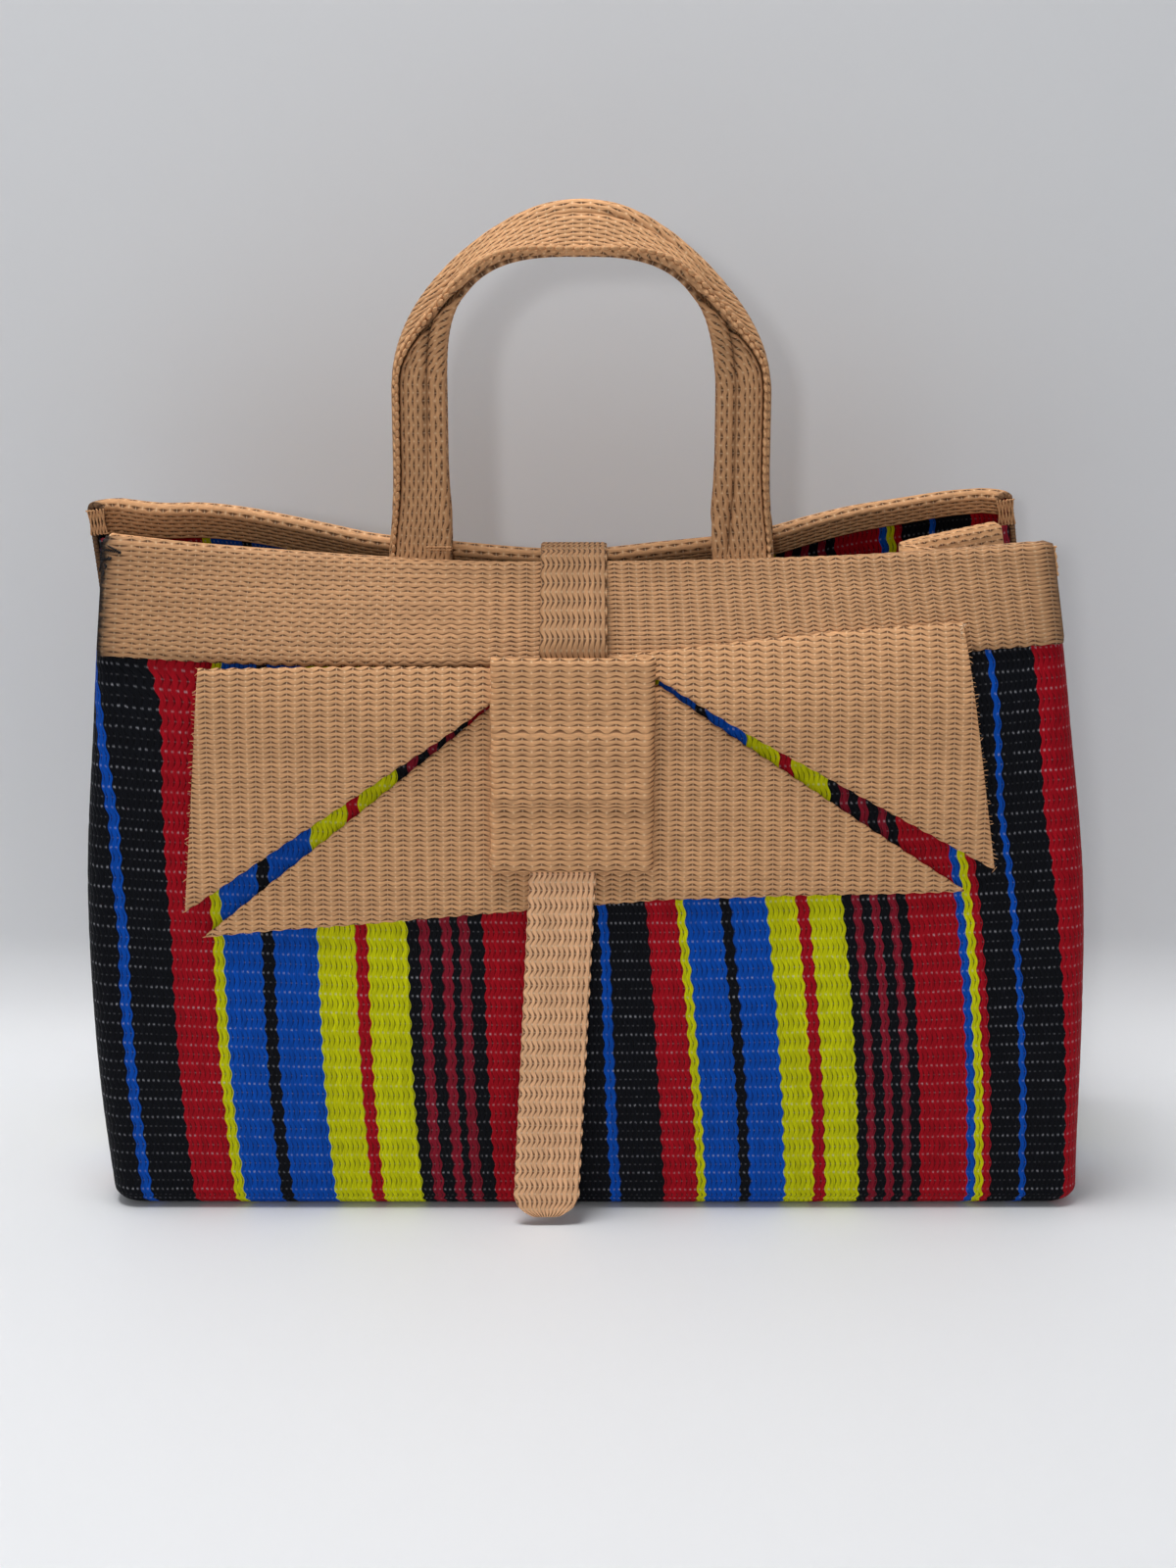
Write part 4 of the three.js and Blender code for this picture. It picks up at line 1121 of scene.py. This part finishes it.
def build_thread(name, thread):
    """Spun or flat yarn seen on its own: fine streaks, a little uneven in tone."""
    material, tree, shader = new_material(name)
    place = place_node(tree, "ShaderNodeTexCoord").outputs["Object"]
    fine = place_node(tree, "ShaderNodeTexNoise",
                      {"Vector": place, "Scale": 1400.0, "Detail": 2.0}).outputs["Fac"]
    tone = maths(tree, "MULTIPLY_ADD", fine, 0.7, 0.62)
    shaded = place_node(tree, "ShaderNodeVectorMath", operation="SCALE",
                        inputs={0: thread, "Scale": tone}).outputs[0]
    finish_shader(tree, shader, shaded, roughness=0.7, specular=0.25, height=fine, strength=0.5, depth=0.2)
    return material


tan_yarn = build_thread("tan_yarn", colour(208, 158, 112)[:3])


def lay_yarns(name, lines, spacing, length, thickness, finish,
              slant=0.0, scatter=0.0, unevenness=0.13):
    """Rows of short yarns along lines of points, as one plain mesh."""
    points, edges = [], []
    for line in lines:
        edges += [(len(points) + k, len(points) + k + 1) for k in range(len(line) - 1)]
        points += (np.asarray(line) * MM).tolist()
    mesh = bpy.data.meshes.new(name)
    mesh.from_pydata(points, edges, [])
    piece = bpy.data.objects.new(name, mesh)
    scene.collection.objects.link(piece)
    return apply_tree(piece, yarn_row, {
        "Spacing": spacing * MM, "Length": length * MM, "Thickness": thickness * MM, "Slant": slant,
        "Scatter": scatter, "Unevenness": unevenness, "Finish": finish})


def follow_bend(piece, side):
    """Bakes a piece's placement into its mesh; the height of the side's bend line is worked out but not
    used.
    """
    bend_at = handle_pivot(side)[2] * MM
    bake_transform(piece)


for name, side in (("front", FRONT), ("back", BACK)):
    handle, edge_lines = make_handle(f"{name}_handle_webbing", side)
    selvedge = [lay_yarns(f"{name}_handle_selvedge_{k + 1}", [line], **selvedge_yarn,
                          finish=tan_yarn, slant=slant)
                for k, (line, (_, slant)) in enumerate(zip(edge_lines, selvedge_rows))]
    for piece in (handle, *selvedge):
        follow_bend(piece, side)
    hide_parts(f"{name}_handle", f"{name}_handle_left_end", f"{name}_handle_right_end")


# Bow: two lengths of the widest webbing, cut on the slant from both lower corners
# towards the knot and laid one over the other on the front. Their ends are left raw.
strap_at = -5.5
bow_wing = 0.42
bow_length = 292
bow_height = 88
bow_ripple = 0.25
tip_curl = 0.9
tip_curl_between = (60, 150)
bow_closeness = [1.15, 1.07]
# Even darkening of the bow.
bow_darkening = 0.05
lower_bow_offset = band_offset + seat
upper_bow_offset = lower_bow_offset + webbing_thickness + seat
# Outlines of the two layers: the corners as x from the strap and depth below the rim, at
# the left tip, both sides of the knot and the right tip.
bow_top = [[-140.1, 34.5], [-28.5, 37.2], [32.5, 32.1], [145.8, 18.5]]
slit_upper = [[-147.2, 126], [-28.5, 46.7], [32.5, 41], [159.1, 109.8]]
slit_lower = [[-140, 136], [-28.5, 47.4], [32.5, 42.3], [148.1, 118.4]]
bow_bottom = [[-139.8, 136.5], [-28.5, 127.5], [32.5, 122.5], [148, 118.9]]


def face_place(x, z):
    """Shares s and h of the front face at a place given by x and height."""
    s, h = np.zeros(np.shape(x)), np.zeros(np.shape(x))
    for _ in range(6):
        h = np.clip((z - wall_foot) / (height_of(FRONT, s, 1) - wall_foot), 0, 1)
        s = np.clip((x - middle_line(FRONT, h)) / (half_width(FRONT, h) - corner_radius), -1, 1)
    return s, h


def face_out(x, z):
    """How far the front stands out at a place given by x and height."""
    return stand_out(FRONT, *face_place(x, z))


def face_point(x, z, offset):
    """Point over the front face, offset from its middle surface along its normal."""
    step = 0.5
    y = -face_out(x, z)
    dx = (-face_out(x + step, z) + face_out(x - step, z)) / (2 * step)
    dz = (-face_out(x, z + step) + face_out(x, z - step)) / (2 * step)
    normal = unit(np.stack([dx, -np.ones(dx.shape), dz], axis=-1))
    return np.stack([x, y, z], axis=-1) + normal * np.asarray(offset)[..., None]


def outline_at(points, shares):
    """x and height at shares of the way along one outline of the bow."""
    corners = [0, bow_wing, 1 - bow_wing, 1]
    across = np.interp(shares, corners, [p[0] for p in points])
    below = np.interp(shares, corners, [p[1] for p in points])
    return strap_at + across, rim_height - below


def make_bow_ribbon(name, lower_line, upper_line, offset):
    """One layer of the bow, its long edges rippled by the picks, its tips curled off."""
    shares = stations(bow_length, 1.2)
    up = stations(bow_height, 0.43)[:, None]
    low_x, low_z = outline_at(lower_line, shares)
    high_x, high_z = outline_at(upper_line, shares)
    x = low_x + (high_x - low_x) * up
    z = low_z + (high_z - low_z) * up
    at_edges = (np.abs(up - 0.5) * 2) ** 12
    z = z + bow_ripple * np.sin(pick_phase(x, bow_closeness[0])) * at_edges
    towards_tip = part_way(np.abs(x - strap_at), *tip_curl_between) ** 2
    curl = tip_curl * towards_tip * (0.5 + 0.5 * np.sin(z / 14 + np.sign(x)))
    middle = face_point(x, z, offset + curl)
    lay = np.stack([x, z], axis=-1) * bow_closeness
    piece = woven_sheet(name, middle, lay, webbing_thickness, back_step=8, dirt_and_shade=bow_darkening)
    return apply_tree(piece, weave_relief, webbing_weave)


cut_ends = []
for node, low, high, offset in (("bow_upper_ribbon", slit_upper, bow_top, upper_bow_offset),
                                ("bow_lower_ribbon", bow_bottom, slit_lower, lower_bow_offset)):
    ribbon = make_bow_ribbon(f"{node}_webbing", low, high, offset)
    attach(ribbon, "front_side")
    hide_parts(node)
    for share in (0.0, 1.0):
        foot, head = np.array(outline_at(low, share)), np.array(outline_at(high, share))
        x, z = np.linspace(foot, head, 40).T
        cut_ends.append(face_point(x, z, np.full(len(x), offset)))
frayed_ends = lay_yarns("bow_frayed_ends", cut_ends, spacing=1.6, length=2.6, thickness=0.28,
                        finish=tan_yarn, slant=math.pi / 2, scatter=0.9, unevenness=0.7)
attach(frayed_ends, "front_side")


# Closure strap: one length of narrow webbing, sewn behind the back rim. It comes over
# both rims, runs down through the knot and ends in a loose tail with a rounded tip.
strap_width = 25
strap_lean = 6
tail_drift = -11
tail_tip = 3
tail_tip_round = 9
tail_tip_blunt = 0.12
anchor_drop = 62
strap_margin = 0.6
strap_ripple = 0.28
# Even darkening of the strap's runs over the rims.
strap_run_darkening = 0.38
run_closeness = 0.76
tail_closeness = 1.14
rim_row = 0.04
knot_drop = 29.5
knot_height = 80.5
knot_top = rim_height - knot_drop
tail_head = knot_top - 2
mouth_middle = (profile_middle[BACK][-1] - profile_middle[FRONT][-1]) / 2
over_band = band_offset + webbing_thickness + seat + strap_margin
# Painted light: the tail, which faces up into the light, gets a lighter copy of the tan webbing, though the
# strap is one length.
lit_tail_webbing = build_webbing("light_tan_webbing", yarn=colour(230, 178, 134)[:3],
                              slit_shade_colour=colour(124, 78, 48), pick_colour=colour(244, 210, 172))
lit_tail_weave = {**webbing_weave, "Finish": lit_tail_webbing}
strap_slope = -math.tan(math.radians(strap_lean))


def strap_base():
    """Stand-out at the floor of the line that the tail lies on, clear of the bow."""
    _, lowest = outline_at(bow_bottom, bow_wing)
    _, highest = outline_at(bow_top, bow_wing)
    _, slit_height = outline_at(slit_upper, bow_wing)
    z = np.arange(lowest, highest, webbing_thickness)
    offset = np.where(z < slit_height, lower_bow_offset, upper_bow_offset)
    out = face_out(np.full(z.shape, float(strap_at)), z) + offset + webbing_thickness + seat
    return float((out - strap_slope * z).max()) + strap_margin


strap_at_floor = strap_base()


def strap_out(z):
    """How far the straight line that the tail and the knot follow stands out at a height."""
    return strap_at_floor + strap_slope * z


def make_tail():
    """Loose end of the strap, from inside the knot to its rounded tip near the floor."""
    length = tail_head - tail_tip
    z = tail_tip + length * stations(length, 1.1, edge=(0.4, 1.0, 2.0, 3.5))
    across = (2 * stations(strap_width, 0.42) - 1)[:, None]
    below = 1 - part_way(z, tail_tip, knot_top)
    short = 1 - part_way(z, tail_tip, tail_tip + tail_tip_round)
    half = strap_width / 2 * np.sqrt(tail_tip_blunt + (1 - tail_tip_blunt) * (1 - short**2))
    half = half + strap_ripple * np.cos(pick_phase(z, tail_closeness)) * (1 - short)
    x = strap_at + tail_drift * below + across * half
    heights = np.broadcast_to(z, x.shape)
    middle = np.stack([x, -strap_out(heights), heights], axis=-1)
    flat_across = np.broadcast_to(across * strap_width / 2, x.shape)
    lay = np.stack([heights * tail_closeness, flat_across], axis=-1)
    piece = woven_sheet("closure_strap_tail_webbing", middle, lay, webbing_thickness, back_step=6)
    return apply_tree(piece, weave_relief, lit_tail_weave)


tail = make_tail()
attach(tail, "strap_tail")
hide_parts("closure_strap_tail")


def over_fold(side):
    """Points over a band's fold, from its highest point to the outer face."""
    point, normal, up = panel_frame(side, 0.0, 1.0)
    turns = np.linspace(math.atan2(up[2], normal[2]), 0, 12)[:, None]
    return point + over_band * (normal * np.cos(turns) + up * np.sin(turns))


def make_strap_run(name, points):
    """Length of strap along a line of points, with its corners eased."""
    points = np.asarray(points)
    length = np.concatenate([[0], np.cumsum(np.linalg.norm(np.diff(points, axis=0), axis=1))])
    along = stations(length[-1], 1.0) * length[-1]
    line = np.stack([np.interp(along, length, points[:, k]) for k in range(3)], axis=-1)
    for _ in range(6):
        line[1:-1] = (line[:-2] + 2 * line[1:-1] + line[2:]) / 4
    across = (2 * stations(strap_width, 0.42) - 1)[:, None]
    half = strap_width / 2 + strap_ripple * np.cos(pick_phase(along, run_closeness))
    middle = np.broadcast_to(line, (len(across),) + line.shape).copy()
    middle[..., 0] = strap_at + across * half
    lay = np.stack([np.broadcast_to(along * run_closeness, middle.shape[:2]),
                    np.broadcast_to(across * strap_width / 2, middle.shape[:2])], axis=-1)
    piece = woven_sheet(name, middle, lay, webbing_thickness, back_step=6, dirt_and_shade=strap_run_darkening)
    return apply_tree(piece, weave_relief, webbing_weave)


front_crest = over_fold(FRONT)
back_crest = over_fold(BACK)
bridge = [0, mouth_middle, (front_crest[0][2] + back_crest[0][2]) / 2]
down_front = [[0, webbing_thickness + seat - strap_out(z), z] for z in (knot_top + 4, knot_top - 4)]
front_run = make_strap_run("closure_strap_front_webbing", [bridge, *front_crest, *down_front])
down_back = []
for row in range(1, math.ceil(anchor_drop / (rim_row * rim_scale(BACK, 0.0)))):
    point, normal, _ = panel_frame(BACK, 0.0, 1 - row * rim_row)
    down_back.append(point + normal * over_band)
anchor_run = make_strap_run("closure_strap_anchor_webbing", [bridge, *back_crest, *down_back])
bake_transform(front_run)
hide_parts("closure_strap_front")
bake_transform(anchor_run)
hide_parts("closure_strap_anchor")


# Knot: a sleeve of wide webbing over the middle of the bow, sewn down at both sides,
# with the strap running through it. Its middle third is pleated up over the others.
knot_width = 60
knot_pleat_above = 26.7
knot_pleat_below = 54.8
knot_soft_fold = 38
knot_pleat_step = 1.3
knot_pleat_edge = 0.35
knot_clearance = 0.5
knot_crown_edge = 0.08
knot_drift = 0.9
knot_ripple = 0.25


def make_knot():
    """Sleeve, higher along its pleated third, with lips where the pleats fold and painted shade under them.
    """
    wall = webbing_thickness + knot_clearance
    foot = knot_top - knot_height
    up = stations(knot_height, 0.45)[:, None] * knot_height
    across = 2 * stations(knot_width, 0.9) - 1
    low, high = knot_height - knot_pleat_below, knot_height - knot_pleat_above
    fold = knot_height - knot_soft_fold
    pleat = (ease(up, low - knot_pleat_edge, low + knot_pleat_edge)
             - ease(up, high - knot_pleat_edge, high + knot_pleat_edge))
    lips = 0.9 * bell(up - high + 1, 0.8) + 0.4 * bell(up - low - 1, 0.8) - 0.9 * bell(up - low + 0.7, 0.5)
    folds = 0.8 * (lips + 0.35 * bell(up - fold, 1.2))
    crown = 1 - (1 - part_way(1 - np.abs(across), 0, knot_crown_edge)) ** 2
    proud = (wall + knot_pleat_step * pleat + folds) * crown
    z = np.broadcast_to(foot + up, proud.shape)
    out = strap_out(z) - strap_margin / 2 + proud
    drift = knot_drift * (1 - up / knot_height)
    x = strap_at + across * (knot_width / 2 + knot_ripple * np.sin(z / 3.1)) - drift
    middle = np.stack([x, -out, z], axis=-1)
    lay = np.stack([x, z + 0.8 * pleat], axis=-1)
    # Painted shade just under the lower pleat's edge and under the soft fold.
    shade_under_folds = 1.5 * bell(up - low + 0.6, 0.45) + 0.2 * bell(up - fold + 0.6, 0.8)
    piece = woven_sheet("bow_knot_webbing", middle, lay, webbing_thickness, back_step=6,
                        dirt_and_shade=shade_under_folds, stagger=0.15)
    return apply_tree(piece, weave_relief, webbing_weave)


knot = make_knot()
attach(knot, "front_side")
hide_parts("bow_knot")


# Sewing thread: the bands' cut ends are overcast, in tan at the back and in black at
# the front left, where the loops show. A pale bar holds the handle's left foot, and
# short loose yarns stand out at a corner of the bow and under the knot.
black_thread = build_thread("black_thread", colour(30, 28, 30)[:3])
pale_thread = build_thread("pale_thread", colour(236, 212, 182)[:3])
thread_clearance = 0.5
overcast_proud = 0.2
loop_proud = 0.45
overcast_depths = np.linspace(0.6, 13, 12)
whip_loops = [(-0.6, 1.0), (2.8, 2.2), (5.4, 4.6), (1.2, 3.6), (-0.6, 5.0), (3.0, 7.4),
              (0.4, 8.0), (-0.6, 9.6), (2.0, 11.0), (-0.6, 12.4), (1.4, 14.2), (-0.4, 15.0)]


def overcast_line(side, hand):
    """Zigzag over the cut end of a rim band, from its outer face to its inner one."""
    u = band_reach[side][(hand + 1) // 2]
    v = 1 - overcast_depths / rim_scale(side, 0.0)
    point, normal, _ = panel_frame(side, np.full(v.shape, float(u)), v)
    beyond = unit(point - panel_point(side, u - hand * 0.004, v)) * thread_clearance
    outer = point + normal * (band_offset + webbing_thickness / 2 + overcast_proud) + beyond
    inner = point - normal * (inside_offset + webbing_thickness / 2 + overcast_proud) + beyond
    return np.stack([outer, inner], axis=1).reshape(-1, 3)


def on_band_face(loops):
    """Points on the front band's face, given inwards from its left end and down.

    Those beyond the end lie on its cut edge."""
    inwards, down = np.array(loops).T
    u = band_reach[FRONT][0] + np.maximum(inwards, 0) / base_half_width
    point, normal, _ = panel_frame(FRONT, u, 1 - down / rim_scale(FRONT, 0.0))
    proud = np.where(inwards < 0, overcast_proud, webbing_thickness / 2 + loop_proud)
    return point + normal * (band_offset + proud)[:, None]


tan_ends = lay_yarns("back_band_end_stitches", [overcast_line(BACK, -1), overcast_line(BACK, 1)],
                     spacing=1.3, length=1.7, thickness=0.75, finish=tan_yarn, unevenness=0.1)
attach(tan_ends, "back_side")
front_end = lay_yarns("front_band_end_stitches", [overcast_line(FRONT, 1)],
                      spacing=1.1, length=1.7, thickness=0.9, finish=tan_yarn, unevenness=0.1)
black_ends = lay_yarns("front_band_whip_stitches", [overcast_line(FRONT, -1), on_band_face(whip_loops)],
                       spacing=0.8, length=1.3, thickness=0.6, finish=black_thread, unevenness=0.2)
knot_foot = knot_top - knot_height
fuzz_line = [(x, -strap_out(knot_foot) + 0.6, knot_foot - 0.3) for x in np.linspace(9, 23, 12)]
fuzz = lay_yarns("bow_knot_fuzz", [fuzz_line], spacing=0.9, length=1.7, thickness=0.34,
                 finish=black_thread, slant=0.3, scatter=0.8, unevenness=0.5)
corner_x, corner_z = outline_at(bow_top, 1.0)
tuft_line = face_point(corner_x - np.linspace(0, 0.8, 6), corner_z - np.linspace(0.5, 5, 6),
                       np.full(6, upper_bow_offset + 0.6))
tuft = lay_yarns("bow_corner_tuft", [tuft_line], spacing=0.45, length=3.2, thickness=0.26,
                 finish=pale_thread, slant=1.2, scatter=1.0, unevenness=0.4)
for stitches in (front_end, black_ends, fuzz, tuft):
    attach(stitches, "front_side")
bar_drop, bar_rows_apart, bar_thickness = 8.5, 1.1, 0.7
left_foot = handle_pivot(FRONT) + [-handle_spacing, -handle_stack / 2 - bar_thickness, -bar_drop]
lower_bar = left_foot + np.linspace(2, 10.5, 8)[:, None] * [1, 0, 0]
foot_bar = lay_yarns("front_handle_foot_bar", [lower_bar, lower_bar + [0, 0, bar_rows_apart]],
                     spacing=1.2, length=1.7, thickness=bar_thickness, finish=tan_yarn, slant=0.2,
                     unevenness=0.2)
follow_bend(foot_bar, FRONT)


# Room: a pale sweep that rises into a wall close behind the bag, one broad soft lamp
# above it to the left and a weak one from the front. The sweep is clear from behind.
def build_paper():
    """Matt pale paper, clear when it is seen from behind."""
    material, tree, shader = new_material("pale_paper")
    shader.inputs["Base Color"].default_value = (0.79, 0.80, 0.815, 1)
    shader.inputs["Roughness"].default_value = 0.6
    clear = tree.nodes.new("ShaderNodeBsdfTransparent")
    behind = place_node(tree, "ShaderNodeNewGeometry").outputs["Backfacing"]
    chosen = place_node(tree, "ShaderNodeMixShader",
                        inputs={0: behind, 1: shader.outputs[0], 2: clear.outputs[0]})
    tree.links.new(chosen.outputs[0], tree.nodes["Material Output"].inputs["Surface"])
    return material


wall_at, sweep_radius, paper_reach, floor_at = 0.125, 0.05, 2.5, -0.0005
sweep = [(wall_at - sweep_radius * (1 - math.sin(turn)), floor_at + sweep_radius * (1 - math.cos(turn)))
         for turn in np.linspace(0, math.pi / 2, 17)]
profile = [(-paper_reach, floor_at), *sweep, (wall_at, paper_reach)]
paper_points = [(x, y, z) for x in (-paper_reach, paper_reach) for y, z in profile]
paper_faces = [(k, k + len(profile), k + len(profile) + 1, k + 1) for k in range(len(profile) - 1)]
paper_mesh = bpy.data.meshes.new("paper_sweep")
paper_mesh.from_pydata(paper_points, [], paper_faces)
paper_mesh.shade_smooth()
paper_mesh.materials.append(build_paper())
paper = bpy.data.objects.new("paper_sweep", paper_mesh)
scene.collection.objects.link(paper)


def add_lamp(name, energy, size, place, aim):
    """Round soft lamp at a place, turned towards its aim."""
    lamp = bpy.data.lights.new(name, "AREA")
    lamp.energy = energy
    lamp.shape = "DISK"
    lamp.size = size
    holder = bpy.data.objects.new(name, lamp)
    holder.location = place
    direction = np.array(aim) - np.array(place)
    tilt = math.atan2(math.hypot(direction[0], direction[1]), -direction[2])
    turn = math.atan2(direction[1], direction[0]) - math.pi / 2
    holder.rotation_euler = (tilt, 0, turn)
    scene.collection.objects.link(holder)


add_lamp("ceiling_light", 23, 0.7, (-0.25, -0.13, 1.8), (0, 0, 0.15))
add_lamp("window_light", 3.4, 0.12, (-0.25, -1.75, 0.6), (0, 0, 0.2))
world = bpy.data.worlds.new("pale_room")
world.use_nodes = True
world.node_tree.nodes["Background"].inputs["Color"].default_value = (0.78, 0.80, 0.84, 1)
world.node_tree.nodes["Background"].inputs["Strength"].default_value = 0.33
scene.world = world
scene.view_settings.view_transform = "Standard"
